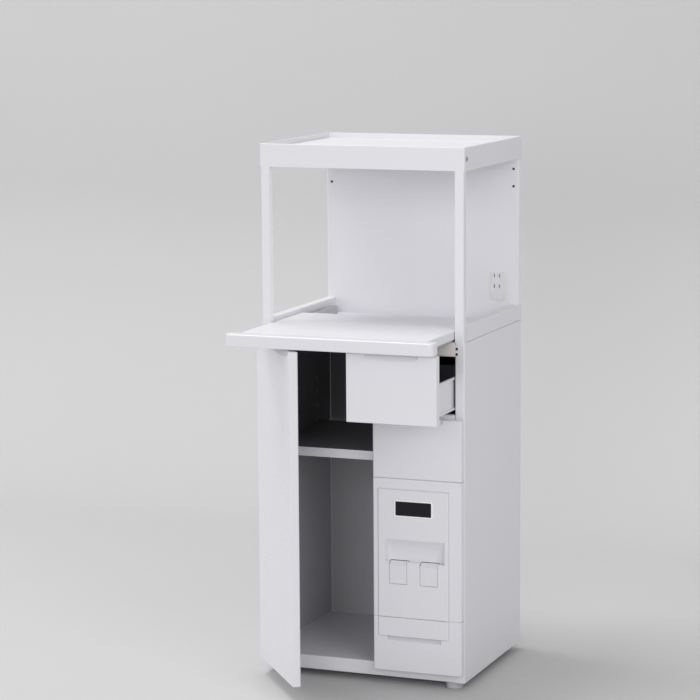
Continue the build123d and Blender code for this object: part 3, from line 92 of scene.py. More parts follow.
def angle(name, description, degrees):
    """An angle property, given in degrees."""
    return FloatProperty(name=name, description=description, subtype="ANGLE", default=math.radians(degrees))


def amount(name, description, default):
    """A plain number as a property."""
    return FloatProperty(name=name, description=description, default=default)


def power(name, description, default):
    """A lamp's power in watts."""
    return FloatProperty(name=name, description=description, unit="POWER", default=default)


def count(name, description, default, least):
    """A whole number as a property."""
    return IntProperty(name=name, description=description, default=default, min=least)


class StandFinishes(bpy.types.PropertyGroup):
    """Colours of the stand's paints, mouldings and metals, with the painted shade inside the cupboard and the
    painted highlight round the window.
    """

    case_paint: colour("Case paint", "Powder paint of the sheet-steel case", (0.775, 0.772, 0.808))
    case_shade: colour("Case shade", "Deeper tone that drifts through the paint", (0.75, 0.747, 0.783))
    # Painted shade: this dark tone on the cupboard's inner walls stands in for the shade inside the cupboard; the
    # walls have the case's paint.
    case_inside_shade: colour("Case inside", "Thin primer on the cupboard's inner walls", (0.20, 0.20, 0.212))
    # Partly painted light: the cross rail's cream is real, but it is made lighter to make up for the shade under
    # the tray.
    rail_paint: colour("Rail paint", "Warm undercoat tone of the cross rail", (0.88, 0.83, 0.775))
    front_white: colour("Front white", "Glossy mouldings of the fronts", (0.77, 0.767, 0.81))
    front_shade: colour("Front shade", "Deeper tone that drifts through the mouldings", (0.75, 0.747, 0.79))
    button_white: colour("Button white", "Push paddles", (0.77, 0.767, 0.805))
    # Painted highlight: a real frame and real returns, but whiter than the fronts. This stands in for the bright
    # rim of a lit bevel and for the bounce light on the posts' inner faces.
    bezel_white: colour("Bezel white", "Frame round the window, and the posts' returns", (0.95, 0.95, 0.965))
    window_dark: colour("Window dark", "Smoked pane of the level window", (0.010, 0.0095, 0.013))
    inner_plastic: colour("Inner plastic", "Natural plastic of hopper and receiver", (0.70, 0.70, 0.69))
    steel: colour("Steel", "Zinc-plated slides, guides and pins", (0.58, 0.58, 0.60))
    screw_dark: colour("Screw dark", "Blackened screws", (0.07, 0.07, 0.08))
    foot_grey: colour("Foot grey", "Moulded feet", (0.58, 0.595, 0.605))
    outlet_ivory: colour("Outlet ivory", "Outlet's face plate", (0.735, 0.735, 0.735))
    buffer_grey: colour("Buffer grey", "Soft buffers behind the fronts", (0.55, 0.56, 0.57))


class StandFittings(bpy.types.PropertyGroup):
    """Sizes of the small fittings that are added to the solids."""

    bezel_width: length("Bezel width", "Width of the frame round the level window", 0.0032)
    bezel_rise: length("Bezel rise", "Height of that frame above the panel", 0.0012)
    bezel_lap: length("Bezel lap", "Reach of that frame over the pane's edge", 0.002)
    bezel_corner: length("Bezel corner", "Radius of that frame's inner corners", 0.0012)
    seam_gap: length("Seam gap", "Gap between the dispenser and the fronts above and below it", 0.0012)
    lip_rise: length("Lip rise", "Height of the moulded lips in those gaps", 0.0010)
    lip_lap: length("Lip lap", "Depth by which those lips sink into the dispenser", 0.0003)
    lip_setback: length("Lip setback", "Distance of those lips behind the fronts", 0.0012)
    lip_depth: length("Lip depth", "Depth of those lips", 0.0017)
    coil_wire: length("Coil wire", "Thickness of a return coil's wire", 0.0010)
    coil_turns: count("Coil turns", "Turns of a return coil", default=5, least=2)
    coil_keep: amount("Coil keep", "Share of a coil's height that is left when pressed", 0.68)
    paddle_gap: length("Paddle gap", "Gap between a paddle and its well", 0.0015)
    rib_thick: length("Rib thickness", "Thickness of the ribs beside and below a paddle", 0.0009)
    rib_setback: length("Rib setback", "Distance of those ribs behind the plateau", 0.0008)
    rib_depth: length("Rib depth", "Depth of those ribs", 0.004)
    rib_reach: length("Rib reach", "Height of those ribs above a paddle's foot", 0.042)
    return_sheet: length("Return sheet", "Thickness of the folded return on a post's inner edge", 0.0012)
    return_depth: length("Return depth", "Depth of that return, less than the post's", 0.0164)
    fillet_width: length("Fillet width", "Width of the sealed seams at the ends of the base's apron", 0.006)
    plug_inset: length("Plug inset", "Distance of a rail's end plug inside the rail's faces", 0.0017)
    plug_depth: length("Plug depth", "Depth of a rail's end plug", 0.006)
    screw_radius: length("Screw radius", "Radius of a rear screw head", 0.0038)
    screw_rise: length("Screw rise", "Height of a rear screw head, less than the flanges stand proud", 0.0009)
    screw_margin: length("Screw margin", "Distance of the lower screws from the panel's edge", 0.014)
    screw_rows: count("Screw rows", "Screws along the base and up the partition", default=5, least=2)
    socket_radius: length("Socket radius", "Radius of a shelf-pin socket", 0.0042)
    socket_rise: length("Socket rise", "Height of the socket's rim", 0.0006)
    socket_pitch: length("Socket pitch", "Step between shelf-pin sockets", 0.032)
    socket_steps: count("Socket steps", "Sockets above and below the shelf", default=4, least=1)
    buffer_radius: length("Buffer radius", "Radius of a soft buffer", 0.0045)
    buffer_rise: length("Buffer rise", "Height of a soft buffer, less than the gap behind a front", 0.0008)
    buffer_inset: length("Buffer inset", "Distance of a soft buffer from a front's edge", 0.009)


class StandStage(bpy.types.PropertyGroup):
    """Camera, floor and lamps."""

    camera_place: place("Camera place", "Place of the camera", (2.080, -5.419, 1.602))
    camera_yaw: angle("Yaw", "Turn to the left", 21.14)
    camera_pitch: angle("Pitch", "Tilt down", 8.42)
    camera_roll: angle("Roll", "Turn about the view", -0.326)
    camera_lens: amount("Lens", "Focal length in millimetres", 134.54)
    camera_sensor: amount("Sensor", "Width of the picture in the camera, in millimetres", 36.0)
    camera_shift: amount("Shift", "Sideways shift of the view", -0.0286)
    floor_colour: colour("Floor colour", "Pale paper of the floor and backdrop", (0.565, 0.565, 0.565))
    sweep_radius: length("Sweep radius", "Radius of the bend from floor to backdrop", 0.9)
    sweep_back: length("Sweep back", "Distance of the backdrop behind the stand", 1.9)
    sweep_reach: length("Sweep reach", "Reach of the floor to the front and to each side", 24.0)
    sweep_height: length("Sweep height", "Height of the backdrop", 6.0)
    front_aim: place("Front aim", "Point that the front and side lamps face", (0.0, 0.0, 0.4))
    tray_aim: place("Tray aim", "Point over the tray that the top lamp faces", (0.0, -0.25, 0.8))
    key_place: place("Key place", "Place of the large front lamp", (1.3, -9.0, 2.6))
    key_size: length("Key size", "Side of the large front lamp", 3.2)
    key_power: power("Key power", "Power of the large front lamp", 137.0)
    top_place: place("Top place", "Place of the lamp over the tray", (-1.9, -0.05, 6.0))
    top_size: length("Top size", "Side of the lamp over the tray", 2.8)
    top_power: power("Top power", "Power of the lamp over the tray", 157.0)
    left_place: place("Left place", "Place of the left lamp", (-3.7, -0.9, 1.9))
    left_size: length("Left size", "Side of the left lamp", 2.0)
    left_power: power("Left power", "Power of the left lamp", 36.0)
    right_place: place("Right place", "Place of the right lamp", (2.8, -2.4, 1.9))
    right_size: length("Right size", "Side of the right lamp", 2.0)
    right_power: power("Right power", "Power of the right lamp", 34.0)
    room_light: amount("Room light", "Strength of the even light all round", 0.565)


def open_group(name, numbers, colours, outputs, output_kind="NodeSocketFloat"):
    """A new shader group with its sockets; gives the group, its sockets inside and object coordinates."""
    group = bpy.data.node_groups.new(name, "ShaderNodeTree")
    for socket in colours:
        group.interface.new_socket(socket, in_out="INPUT", socket_type="NodeSocketColor")
    for socket, value in numbers.items():
        made = group.interface.new_socket(socket, in_out="INPUT", socket_type="NodeSocketFloat")
        made.default_value = value
    for socket in outputs:
        group.interface.new_socket(socket, in_out="OUTPUT", socket_type=output_kind)
    entry = group.nodes.new("NodeGroupInput")
    leave = group.nodes.new("NodeGroupOutput")
    coordinates = group.nodes.new("ShaderNodeTexCoord")
    return group, entry.outputs, leave.inputs, coordinates.outputs["Object"]


def add_node(tree, kind, values=None, operation=None):
    """A node of a kind, with its operation and the values of its sockets."""
    node = tree.nodes.new(kind)
    if operation:
        node.operation = operation
    for socket, value in (values or {}).items():
        node.inputs[socket].default_value = value
    return node


def add_mix(tree):
    """A node that mixes two colours."""
    mix = tree.nodes.new("ShaderNodeMix")
    mix.data_type = "RGBA"
    return mix


def multiplied(tree, first, second):
    """The product of two sockets."""
    product = add_node(tree, "ShaderNodeMath", operation="MULTIPLY")
    tree.links.new(first, product.inputs[0])
    tree.links.new(second, product.inputs[1])
    return product.outputs["Value"]


def grain_group():
    """Fine grain: noise on object coordinates, put out as a height and as a mask."""
    numbers = {"Scale": 900.0, "Detail": 2.0}
    group, entry, leave, spot = open_group("fine_grain", numbers, (), ("Height", "Mask"))
    noise = add_node(group, "ShaderNodeTexNoise", {"Roughness": 0.55})
    spread = add_node(group, "ShaderNodeMapRange", {"From Min": 0.3, "From Max": 0.7})
    group.links.new(spot, noise.inputs["Vector"])
    group.links.new(entry["Scale"], noise.inputs["Scale"])
    group.links.new(entry["Detail"], noise.inputs["Detail"])
    group.links.new(noise.outputs["Fac"], spread.inputs["Value"])
    group.links.new(noise.outputs["Fac"], leave["Height"])
    group.links.new(spread.outputs["Result"], leave["Mask"])
    return group


def drift_group():
    """Tone drift: two colours mixed by broad noise on object coordinates."""
    group, entry, leave, spot = open_group(
        "tone_drift", {"Scale": 4.0}, ("Colour", "Shade"), ("Colour",), "NodeSocketColor"
    )
    noise = add_node(group, "ShaderNodeTexNoise", {"Detail": 3.0})
    mix = add_mix(group)
    group.links.new(spot, noise.inputs["Vector"])
    group.links.new(entry["Scale"], noise.inputs["Scale"])
    group.links.new(noise.outputs["Fac"], mix.inputs["Factor"])
    group.links.new(entry["Colour"], mix.inputs["A"])
    group.links.new(entry["Shade"], mix.inputs["B"])
    group.links.new(mix.outputs["Result"], leave["Colour"])
    return group


def scuff_group():
    """Floor scuffs: a mask that is strongest at the floor, fades with height and is broken up by noise."""
    group, entry, leave, spot = open_group("floor_scuffs", {"Reach": 0.12, "Strength": 0.3}, (), ("Mask",))
    split = add_node(group, "ShaderNodeSeparateXYZ")
    fade = add_node(group, "ShaderNodeMapRange", {"To Min": 1.0, "To Max": 0.0})
    noise = add_node(group, "ShaderNodeTexNoise", {"Scale": 45.0, "Detail": 4.0})
    group.links.new(spot, split.inputs["Vector"])
    group.links.new(spot, noise.inputs["Vector"])
    group.links.new(split.outputs["Z"], fade.inputs["Value"])
    group.links.new(entry["Reach"], fade.inputs["From Max"])
    patches = multiplied(group, fade.outputs["Result"], noise.outputs["Fac"])
    group.links.new(multiplied(group, patches, entry["Strength"]), leave["Mask"])
    return group


def brushed_group():
    """Brushed lines: noise drawn out along the stand's depth, put out as a height and as a mask."""
    group, entry, leave, spot = open_group("brushed_lines", {"Scale": 900.0}, (), ("Height", "Mask"))
    stretch = add_node(group, "ShaderNodeMapping", {"Scale": (1.0, 0.02, 1.0)})
    noise = add_node(group, "ShaderNodeTexNoise", {"Detail": 3.0})
    group.links.new(spot, stretch.inputs["Vector"])
    group.links.new(stretch.outputs["Vector"], noise.inputs["Vector"])
    group.links.new(entry["Scale"], noise.inputs["Scale"])
    group.links.new(noise.outputs["Fac"], leave["Height"])
    group.links.new(noise.outputs["Fac"], leave["Mask"])
    return group


def inside_shade_group():
    """Painted shade inside the cupboard: a mask that is zero on outer faces and the floor, weak in the lower
    cupboard and full in the upper.
    """
    group, _, leave, spot = open_group("inside_mask", {}, (), ("Mask",))
    split = add_node(group, "ShaderNodeSeparateXYZ")
    group.links.new(spot, split.inputs["Vector"])
    floor_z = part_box("bottom_panel")[1].z
    shelf_low, shelf_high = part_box("cupboard_shelf")
    wall = 3 * skin
    limits = (
        ("X", "GREATER_THAN", -case_high.x + wall),
        ("X", "LESS_THAN", case_high.x - wall),
        ("Y", "GREATER_THAN", shelf_low.y + 2 * wall),
        ("Y", "LESS_THAN", case_high.y - 3 * wall),
        ("Z", "GREATER_THAN", floor_z + wall),
        ("Z", "LESS_THAN", case_high.z - wall),
    )
    # The painted shade is weaker in the lower cupboard than in the upper one.
    lower_share = 0.36
    heights = {"From Min": shelf_low.z, "From Max": shelf_high.z, "To Min": lower_share}
    rise = add_node(group, "ShaderNodeMapRange", heights)
    group.links.new(split.outputs["Z"], rise.inputs["Value"])
    inside = rise.outputs["Result"]
    for axis, test, limit in limits:
        side = add_node(group, "ShaderNodeMath", {1: limit}, test)
        group.links.new(split.outputs[axis], side.inputs[0])
        inside = multiplied(group, inside, side.outputs["Value"])
    group.links.new(inside, leave["Mask"])
    return group


def shared_group(name):
    """A node group by name, built the first time that it is asked for."""
    makers = {
        "fine_grain": grain_group,
        "tone_drift": drift_group,
        "floor_scuffs": scuff_group,
        "brushed_lines": brushed_group,
        "inside_mask": inside_shade_group,
    }
    return bpy.data.node_groups.get(name) or makers[name]()


def place_group(material, name, **values):
    """A node in the material that holds a shared group with its own values."""
    node = material.node_tree.nodes.new("ShaderNodeGroup")
    node.node_tree = shared_group(name)
    for socket, value in values.items():
        node.inputs[socket].default_value = value
    return node


def solid_colour(rgb):
    """Colour with full alpha for a socket."""
    return (rgb[0], rgb[1], rgb[2], 1.0)


def darker(rgb, factor):
    """A colour made darker by a factor."""
    return [value * factor for value in rgb]


def blank_material(name):
    """A new material of the stand, with its shader."""
    material = bpy.data.materials.new(f"stand_{name}")
    material.use_nodes = True
    return material, material.node_tree.nodes["Principled BSDF"]


def drifting_tone(material, tone, shade, scale):
    """The colour of a tone that drifts towards a shade."""
    drift = place_group(material, "tone_drift", Scale=scale)
    drift.inputs["Colour"].default_value = solid_colour(tone)
    drift.inputs["Shade"].default_value = solid_colour(shade)
    return drift.outputs["Colour"]


def mask_tint(material, tint, mask, tone):
    """A tint that turns to a tone where a mask is high."""
    mix = add_mix(material.node_tree)
    mix.inputs["B"].default_value = solid_colour(tone)
    material.node_tree.links.new(mask, mix.inputs["Factor"])
    material.node_tree.links.new(tint, mix.inputs["A"])
    return mix.outputs["Result"]


def vary_roughness(material, shader, mask, rough):
    """Roughness that runs from the low to the high value of a pair with a mask."""
    spread = add_node(material.node_tree, "ShaderNodeMapRange", {"To Min": rough[0], "To Max": rough[1]})
    material.node_tree.links.new(mask, spread.inputs["Value"])
    material.node_tree.links.new(spread.outputs["Result"], shader.inputs["Roughness"])


def raise_grain(material, shader, height, relief):
    """Surface relief from a height, by a pair of strength and depth in metres."""
    bump = add_node(material.node_tree, "ShaderNodeBump", {"Strength": relief[0], "Distance": relief[1]})
    material.node_tree.links.new(height, bump.inputs["Height"])
    material.node_tree.links.new(bump.outputs["Normal"], shader.inputs["Normal"])


def coated(name, tone, shade, grain, rough, relief, coat=0.0, scuffs=0.0, inside=None):
    """Paint or plastic: drifting tone, fine grain, scuffs near the floor and painted shade on the cupboard's inner
    walls.
    """
    material, shader = blank_material(name)
    tint = drifting_tone(material, tone, shade, scale=3.5)
    if scuffs > 0:
        marks = place_group(material, "floor_scuffs", Strength=scuffs)
        tint = mask_tint(material, tint, marks.outputs["Mask"], darker(tone, factor=0.62))
    # Painted shade on the cupboard's inner walls, laid over the paint by the inside mask.
    if inside is not None:
        mask = place_group(material, "inside_mask")
        tint = mask_tint(material, tint, mask.outputs["Mask"], inside)
    material.node_tree.links.new(tint, shader.inputs["Base Color"])
    texture = place_group(material, "fine_grain", Scale=grain)
    vary_roughness(material, shader, texture.outputs["Mask"], rough)
    raise_grain(material, shader, texture.outputs["Height"], relief)
    shader.inputs["Coat Weight"].default_value = coat
    shader.inputs["Coat Roughness"].default_value = 0.12
    return material


def plated(name, tone, rough):
    """Plated steel with brushed lines in its roughness and relief."""
    material, shader = blank_material(name)
    tint = drifting_tone(material, tone, darker(tone, factor=0.8), scale=25.0)
    material.node_tree.links.new(tint, shader.inputs["Base Color"])
    lines = place_group(material, "brushed_lines", Scale=700.0)
    vary_roughness(material, shader, lines.outputs["Mask"], rough)
    raise_grain(material, shader, lines.outputs["Height"], relief=(0.1, 0.0001))
    shader.inputs["Metallic"].default_value = 1.0
    return material


def smoked(name, tone):
    """Smoked pane: dark drifting tone under a smooth, weak gloss."""
    shade = darker(tone, factor=0.7)
    material = coated(name, tone, shade, grain=400.0, rough=(0.10, 0.18), relief=(0.02, 0.0001))
    material.node_tree.nodes["Principled BSDF"].inputs["Specular IOR Level"].default_value = 0.22
    return material


def build_materials(tones):
    """Materials by name: each coat has its shade, grain, roughness range and relief, and some have more."""
    paint_relief = (0.12, 0.00015)
    smooth_relief = (0.05, 0.0001)
    coats = {
        "case_paint": dict(
            shade=tones.case_shade, grain=1100.0, rough=(0.38, 0.50), relief=paint_relief,
            scuffs=0.25, inside=tones.case_inside_shade,
        ),
        "rail_paint": dict(
            shade=darker(tones.rail_paint, factor=0.93), grain=1100.0, rough=(0.45, 0.6), relief=paint_relief
        ),
        "front_white": dict(
            shade=tones.front_shade, grain=500.0, rough=(0.26, 0.34), relief=smooth_relief,
            coat=0.25, scuffs=0.2,
        ),
        "button_white": dict(
            shade=darker(tones.button_white, factor=0.96), grain=700.0, rough=(0.28, 0.36),
            relief=smooth_relief, coat=0.2,
        ),
        "bezel_white": dict(
            shade=darker(tones.bezel_white, factor=0.98), grain=700.0, rough=(0.3, 0.4), relief=smooth_relief
        ),
        "inner_plastic": dict(
            shade=darker(tones.inner_plastic, factor=0.92), grain=1500.0, rough=(0.5, 0.65),
            relief=paint_relief,
        ),
        "foot_grey": dict(
            shade=darker(tones.foot_grey, factor=0.7), grain=1600.0, rough=(0.55, 0.75), relief=paint_relief
        ),
        "outlet_ivory": dict(
            shade=darker(tones.outlet_ivory, factor=0.97), grain=900.0, rough=(0.3, 0.4), relief=smooth_relief
        ),
        "buffer_grey": dict(
            shade=darker(tones.buffer_grey, factor=0.9), grain=900.0, rough=(0.25, 0.4), relief=smooth_relief
        ),
    }
    materials = {name: coated(name, getattr(tones, name), **look) for name, look in coats.items()}
    materials["window_dark"] = smoked("window_dark", tones.window_dark)
    materials["steel"] = plated("steel", tones.steel, rough=(0.24, 0.42))
    materials["screw_dark"] = plated("screw_dark", tones.screw_dark, rough=(0.35, 0.55))
    return materials


def stand_material(name):
    """A finished material by name, with all of them built the first time that one is asked for."""
    if not finished:
        finished.update(build_materials(bpy.context.scene.stand_finishes))
    return finished[name]


def link_mesh(name, points, faces, material, smooth):
    """A new object at the origin with its place in its points, finished by a material."""
    mesh = bpy.data.meshes.new(name)
    mesh.from_pydata(points.reshape(-1, 3).tolist(), [], faces)
    mesh.materials.append(material)
    mesh.polygons.foreach_set("use_smooth", np.full(len(mesh.polygons), smooth))
    mesh.update()
    made = bpy.data.objects.new(name, mesh)
    bpy.context.scene.collection.objects.link(made)
    return made


def put_piece(name, points, faces, material, body, smooth=True):
    """A new piece that rides on a body and takes its finish from a slot."""
    piece = link_mesh(name, points, faces, stand_material(material), smooth)
    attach(piece, body)
    return piece


def ring_faces(rings, around, closed=False):
    """Quads of a grid of rings: each joins a cell and the next one round to the same two in the next ring.

    With closed set, the last ring joins the first one.
    """
    ring, cell = np.meshgrid(np.arange(rings if closed else rings - 1), np.arange(around), indexing="ij")
    ahead, beside = (ring + 1) % rings, (cell + 1) % around
    corners = ((ring, cell), (ring, beside), (ahead, beside), (ahead, cell))
    return np.stack([row * around + step for row, step in corners], axis=-1).reshape(-1, 4)


def domed_profile(radius, rise, steps=5):
    """Radius and height of a low dome: a short foot below the face, then rise * sin a at radius * cos a."""
    bow = np.linspace(0, np.pi / 2, steps, endpoint=False)
    radii = np.concatenate(([radius], radius * np.cos(bow)))
    heights = np.concatenate(([-skin], rise * np.sin(bow)))
    return radii, heights


def turned_heads(places, outward, radii, heights, turns=24):
    """Turned buttons: at each place a profile of radius against height is turned about the outward direction.

    point = place + radius * (cos a * side + sin a * across) + height * outward, closed by a disc at each end.
    """
    outward = np.asarray(outward, float) / np.linalg.norm(outward)
    side = np.cross(outward, (0.0, 0.0, 1.0))
    side /= np.linalg.norm(side)
    across = np.cross(outward, side)
    turn = np.linspace(0, 2 * np.pi, turns, endpoint=False)
    ring = np.cos(turn)[:, None] * side + np.sin(turn)[:, None] * across
    head = np.asarray(radii)[:, None, None] * ring + np.asarray(heights)[:, None, None] * outward
    points = np.asarray(places, float)[:, None, None] + head
    rings = len(head)
    wall = ring_faces(rings, turns)
    lid = np.arange(turns) + (rings - 1) * turns
    base = np.arange(turns)[::-1]
    faces = []
    for start in np.arange(len(points)) * rings * turns:
        faces += [*(wall + start).tolist(), (lid + start).tolist(), (base + start).tolist()]
    return points, faces


def plain_bars(lows, highs):
    """Straight bars: for each pair of corners the eight points where low or high is taken on every axis."""
    pick = np.indices((2, 2, 2)).reshape(3, -1)
    corners = np.stack((np.asarray(lows, float), np.asarray(highs, float)))
    points = np.stack([corners[pick[axis], :, axis].T for axis in range(3)], axis=-1)
    sides = np.array(((0, 1, 3, 2), (4, 6, 7, 5), (0, 4, 5, 1), (2, 3, 7, 6), (0, 2, 6, 4), (1, 5, 7, 3)))
    starts = np.arange(len(points)) * pick.shape[1]
    faces = (starts[:, None, None] + sides).reshape(-1, 4)
    return points, faces.tolist()


def framed_edge(low, high, corner, profile, forward, steps=8):
    """Frame: a closed profile carried round a rounded rectangle in the X-Z plane.

    point = path + spread * outward normal + rise * forward, with the path made of four corner arcs.
    """
    quarter = np.linspace(0, np.pi / 2, steps)
    turn = np.concatenate([quarter + start * np.pi / 2 for start in range(4)])
    normal = np.stack((np.cos(turn), np.zeros_like(turn), np.sin(turn)), axis=-1)
    right, left = high[0] - corner, low[0] + corner
    top, bottom = high[2] - corner, low[2] + corner
    centre_x = np.repeat((right, left, left, right), steps)
    centre_z = np.repeat((top, top, bottom, bottom), steps)
    path = np.stack((centre_x, np.full_like(centre_x, low[1]), centre_z), axis=-1) + corner * normal
    spread, rise = np.asarray(profile).T[:, None, :, None]
    points = path[:, None] + spread * normal[:, None] + rise * np.asarray(forward, float)
    return points, ring_faces(len(path), len(profile), closed=True).tolist()


def wound_wire(centre, radius, wire, rise, turns, steps=36, sides=10):
    """Coil: a circle of the wire's radius carried along a helix and closed by a disc at each end.

    helix = centre + radius * outward(turn) + rise * share * up, and point = helix + wire radius *
    (cos a * outward + sin a * across), where across is the helix's direction crossed with outward.
    """
    share = np.linspace(0, 1, turns * steps + 1)
    turn = 2 * np.pi * turns * share
    outward = np.stack((np.cos(turn), np.sin(turn), np.zeros_like(turn)), axis=-1)
    up = np.array((0.0, 0.0, 1.0))
    path = np.asarray(centre, float) + radius * outward + rise * share[:, None] * up
    climb = np.full_like(turn, rise / (2 * np.pi * turns))
    along = np.stack((-radius * np.sin(turn), radius * np.cos(turn), climb), axis=-1)
    along /= np.linalg.norm(along, axis=-1, keepdims=True)
    across = np.cross(along, outward)
    round_wire = np.linspace(0, 2 * np.pi, sides, endpoint=False)[None, :, None]
    ring = np.cos(round_wire) * outward[:, None] + np.sin(round_wire) * across[:, None]
    points = path[:, None] + wire / 2 * ring
    start = np.arange(sides)[::-1]
    end = np.arange(sides) + (len(path) - 1) * sides
    return points, [*ring_faces(len(path), sides).tolist(), start.tolist(), end.tolist()]


class STAND_OT_finishes(bpy.types.Operator):
    """Gives every solid of the stand the material of its slot"""

    bl_idname = "stand.finishes"
    bl_label = "Paint and finishes"

    def execute(self, context):
        finished.clear()
        for entry in frame["record"]["subparts"]:
            solid = frame["nodes"][entry["node"]]
            solid.data.materials.clear()
            solid.data.materials.append(stand_material(entry["material_slot"]))
        return {"FINISHED"}


class STAND_OT_window_bezel(bpy.types.Operator):
    """Adds the thin raised frame round the level window, finished whiter than the fronts as a painted highlight"""

    bl_idname = "stand.window_bezel"
    bl_label = "Window bezel"

    def execute(self, context):
        fit = context.scene.stand_fittings
        low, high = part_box("level_window")
        face_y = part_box("dispenser_panel")[0].y
        inner_low = (low.x + fit.bezel_lap, face_y, low.z + fit.bezel_lap)
        inner_high = (high.x - fit.bezel_lap, face_y, high.z - fit.bezel_lap)
        rise, width = fit.bezel_rise, fit.bezel_width
        slope = width / 4
        inner_edge = [(0.0, -rise), (0.0, rise / 2), (slope, rise)]
        outer_edge = [(width - slope, rise), (width, 0.0), (width, -rise)]
        profile = inner_edge + outer_edge
        forward = (0.0, -1.0, 0.0)
        points, faces = framed_edge(inner_low, inner_high, fit.bezel_corner, profile, forward)
        put_piece("window_bezel", points, faces, "bezel_white", "cabinet")
        return {"FINISHED"}


class STAND_OT_seam_lips(bpy.types.Operator):
    """Adds the moulded lips that close the seams above and below the dispenser"""

    bl_idname = "stand.seam_lips"
    bl_label = "Seam lips"

    def execute(self, context):
        fit = context.scene.stand_fittings
        flap_low, flap_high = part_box("fill_flap")
        near = flap_low.y + fit.lip_setback
        far = near + fit.lip_depth
        left = flap_low.x + 2 * fit.lip_setback
        right = flap_high.x - 2 * fit.lip_setback
        top = flap_low.z - fit.seam_gap
        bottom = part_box("receiver_front")[1].z + fit.seam_gap
        lows = [(left, near, top - fit.lip_lap), (left, near, bottom - fit.lip_rise)]
        highs = [(right, far, top + fit.lip_rise), (right, far, bottom + fit.lip_lap)]
        points, faces = plain_bars(lows, highs)
        put_piece("seam_lips", points, faces, "front_white", "cabinet", smooth=False)
        return {"FINISHED"}


class STAND_OT_return_coils(bpy.types.Operator):
    """Winds the paddles' return coils in place of the plain springs"""

    bl_idname = "stand.return_coils"
    bl_label = "Return coils"

    def execute(self, context):
        fit = context.scene.stand_fittings
        wire = fit.coil_wire
        for side in ("left", "right"):
            low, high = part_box(f"spring_{side}")
            middle_x, middle_y = (low.x + high.x) / 2, (low.y + high.y) / 2
            radius = (high.x - low.x - wire) / 2
            centre = (middle_x, middle_y, low.z + wire / 2)
            points, faces = wound_wire(centre, radius, wire, high.z - low.z - wire, fit.coil_turns)
            coil = put_piece(f"return_coil_{side}", points, faces, "steel", "cabinet")
            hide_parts(f"spring_{side}")
            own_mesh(coil)
        return {"FINISHED"}


class STAND_OT_well_ribs(bpy.types.Operator):
    """Adds the thin ribs that narrow the gaps round the push paddles"""

    bl_idname = "stand.well_ribs"
    bl_label = "Well ribs"

    def execute(self, context):
        fit = context.scene.stand_fittings
        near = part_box("dispenser_panel")[0].y + fit.rib_setback
        far = near + fit.rib_depth
        wall = fit.paddle_gap + skin
        thick = fit.rib_thick + skin
        lows, highs = [], []
        for side in ("left", "right"):
            low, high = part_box(f"paddle_{side}")
            top = low.z + fit.rib_reach
            foot = low.z - wall
            left, right = low.x - wall, high.x + wall
            lows += [(left, near, foot), (right - thick, near, foot), (left + thick, near, foot)]
            highs += [(left + thick, far, top), (right, far, top), (right - thick, far, foot + thick)]
        points, faces = plain_bars(lows, highs)
        put_piece("well_ribs", points, faces, "front_white", "cabinet", smooth=False)
        return {"FINISHED"}


class STAND_OT_post_returns(bpy.types.Operator):
    """Adds the folded returns along the inner edges of the front posts, finished whiter than the posts as painted
    bounce light
    """

    bl_idname = "stand.post_returns"
    bl_label = "Post returns"

    def execute(self, context):
        fit = context.scene.stand_fittings
        low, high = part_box("front_post_left")
        left_edge = high.x - skin
        right_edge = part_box("front_post_right")[0].x + skin
        near, far = low.y + half_skin, low.y + fit.return_depth
        bottom, top = low.z + skin, high.z - skin
        lows = [(left_edge - fit.return_sheet, near, bottom), (right_edge, near, bottom)]
        highs = [(left_edge, far, top), (right_edge + fit.return_sheet, far, top)]
        points, faces = plain_bars(lows, highs)
        put_piece("post_returns", points, faces, "bezel_white", "cabinet", smooth=False)
        return {"FINISHED"}


class STAND_OT_apron_seams(bpy.types.Operator):
    """Adds the sealed seams between the base's apron and the side panels"""

    bl_idname = "stand.apron_seams"
    bl_label = "Apron seams"

    def execute(self, context):
        fit = context.scene.stand_fittings
        low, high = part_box("bottom_panel")
        edges = (-case_low.x, case_low.x)
        reach = fit.fillet_width / 2
        lows = [(edge - reach, low.y + half_skin, low.z + skin) for edge in edges]
        highs = [(edge + reach, low.y + 4 * skin, high.z - skin) for edge in edges]
        points, faces = plain_bars(lows, highs)
        put_piece("apron_seams", points, faces, "case_paint", "cabinet", smooth=False)
        return {"FINISHED"}


class STAND_OT_rail_plugs(bpy.types.Operator):
    """Adds the plugs in the ends of the deck's tube rails"""

    bl_idname = "stand.rail_plugs"
    bl_label = "Rail plugs"

    def execute(self, context):
        fit = context.scene.stand_fittings
        gap, deep = fit.plug_inset, fit.plug_depth
        lows, highs = [], []
        for side in ("left", "right"):
            low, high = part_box(f"deck_rail_{side}")
            for near, far in ((low.y + skin, low.y + deep), (high.y - deep, high.y - skin)):
                lows.append((low.x + gap, near, low.z + gap))
                highs.append((high.x - gap, far, high.z - gap))
        points, faces = plain_bars(lows, highs)
        put_piece("rail_plugs", points, faces, "case_paint", "cabinet", smooth=False)
        return {"FINISHED"}


class STAND_OT_rear_screws(bpy.types.Operator):
    """Adds the screws that hold the lower back panel to the base and the partition"""

    bl_idname = "stand.rear_screws"
    bl_label = "Rear screws"

    def execute(self, context):
        fit = context.scene.stand_fittings
        low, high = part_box("lower_back_panel")
        wall_low, wall_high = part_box("partition")
        row_margin = 4 * fit.screw_margin
        across = np.linspace(low.x + row_margin, high.x - row_margin, fit.screw_rows)
        up = np.linspace(wall_low.z + row_margin, wall_high.z - row_margin, fit.screw_rows)
        x = np.concatenate((across, np.full(up.size, (wall_low.x + wall_high.x) / 2)))
        z = np.concatenate((np.full(across.size, low.z + fit.screw_margin), up))
        places = np.stack((x, np.full(x.size, high.y), z), axis=-1)
        radii, heights = domed_profile(fit.screw_radius, fit.screw_rise)
        points, faces = turned_heads(places, (0.0, 1.0, 0.0), radii, heights)
        put_piece("rear_screws", points, faces, "steel", "cabinet")
        return {"FINISHED"}


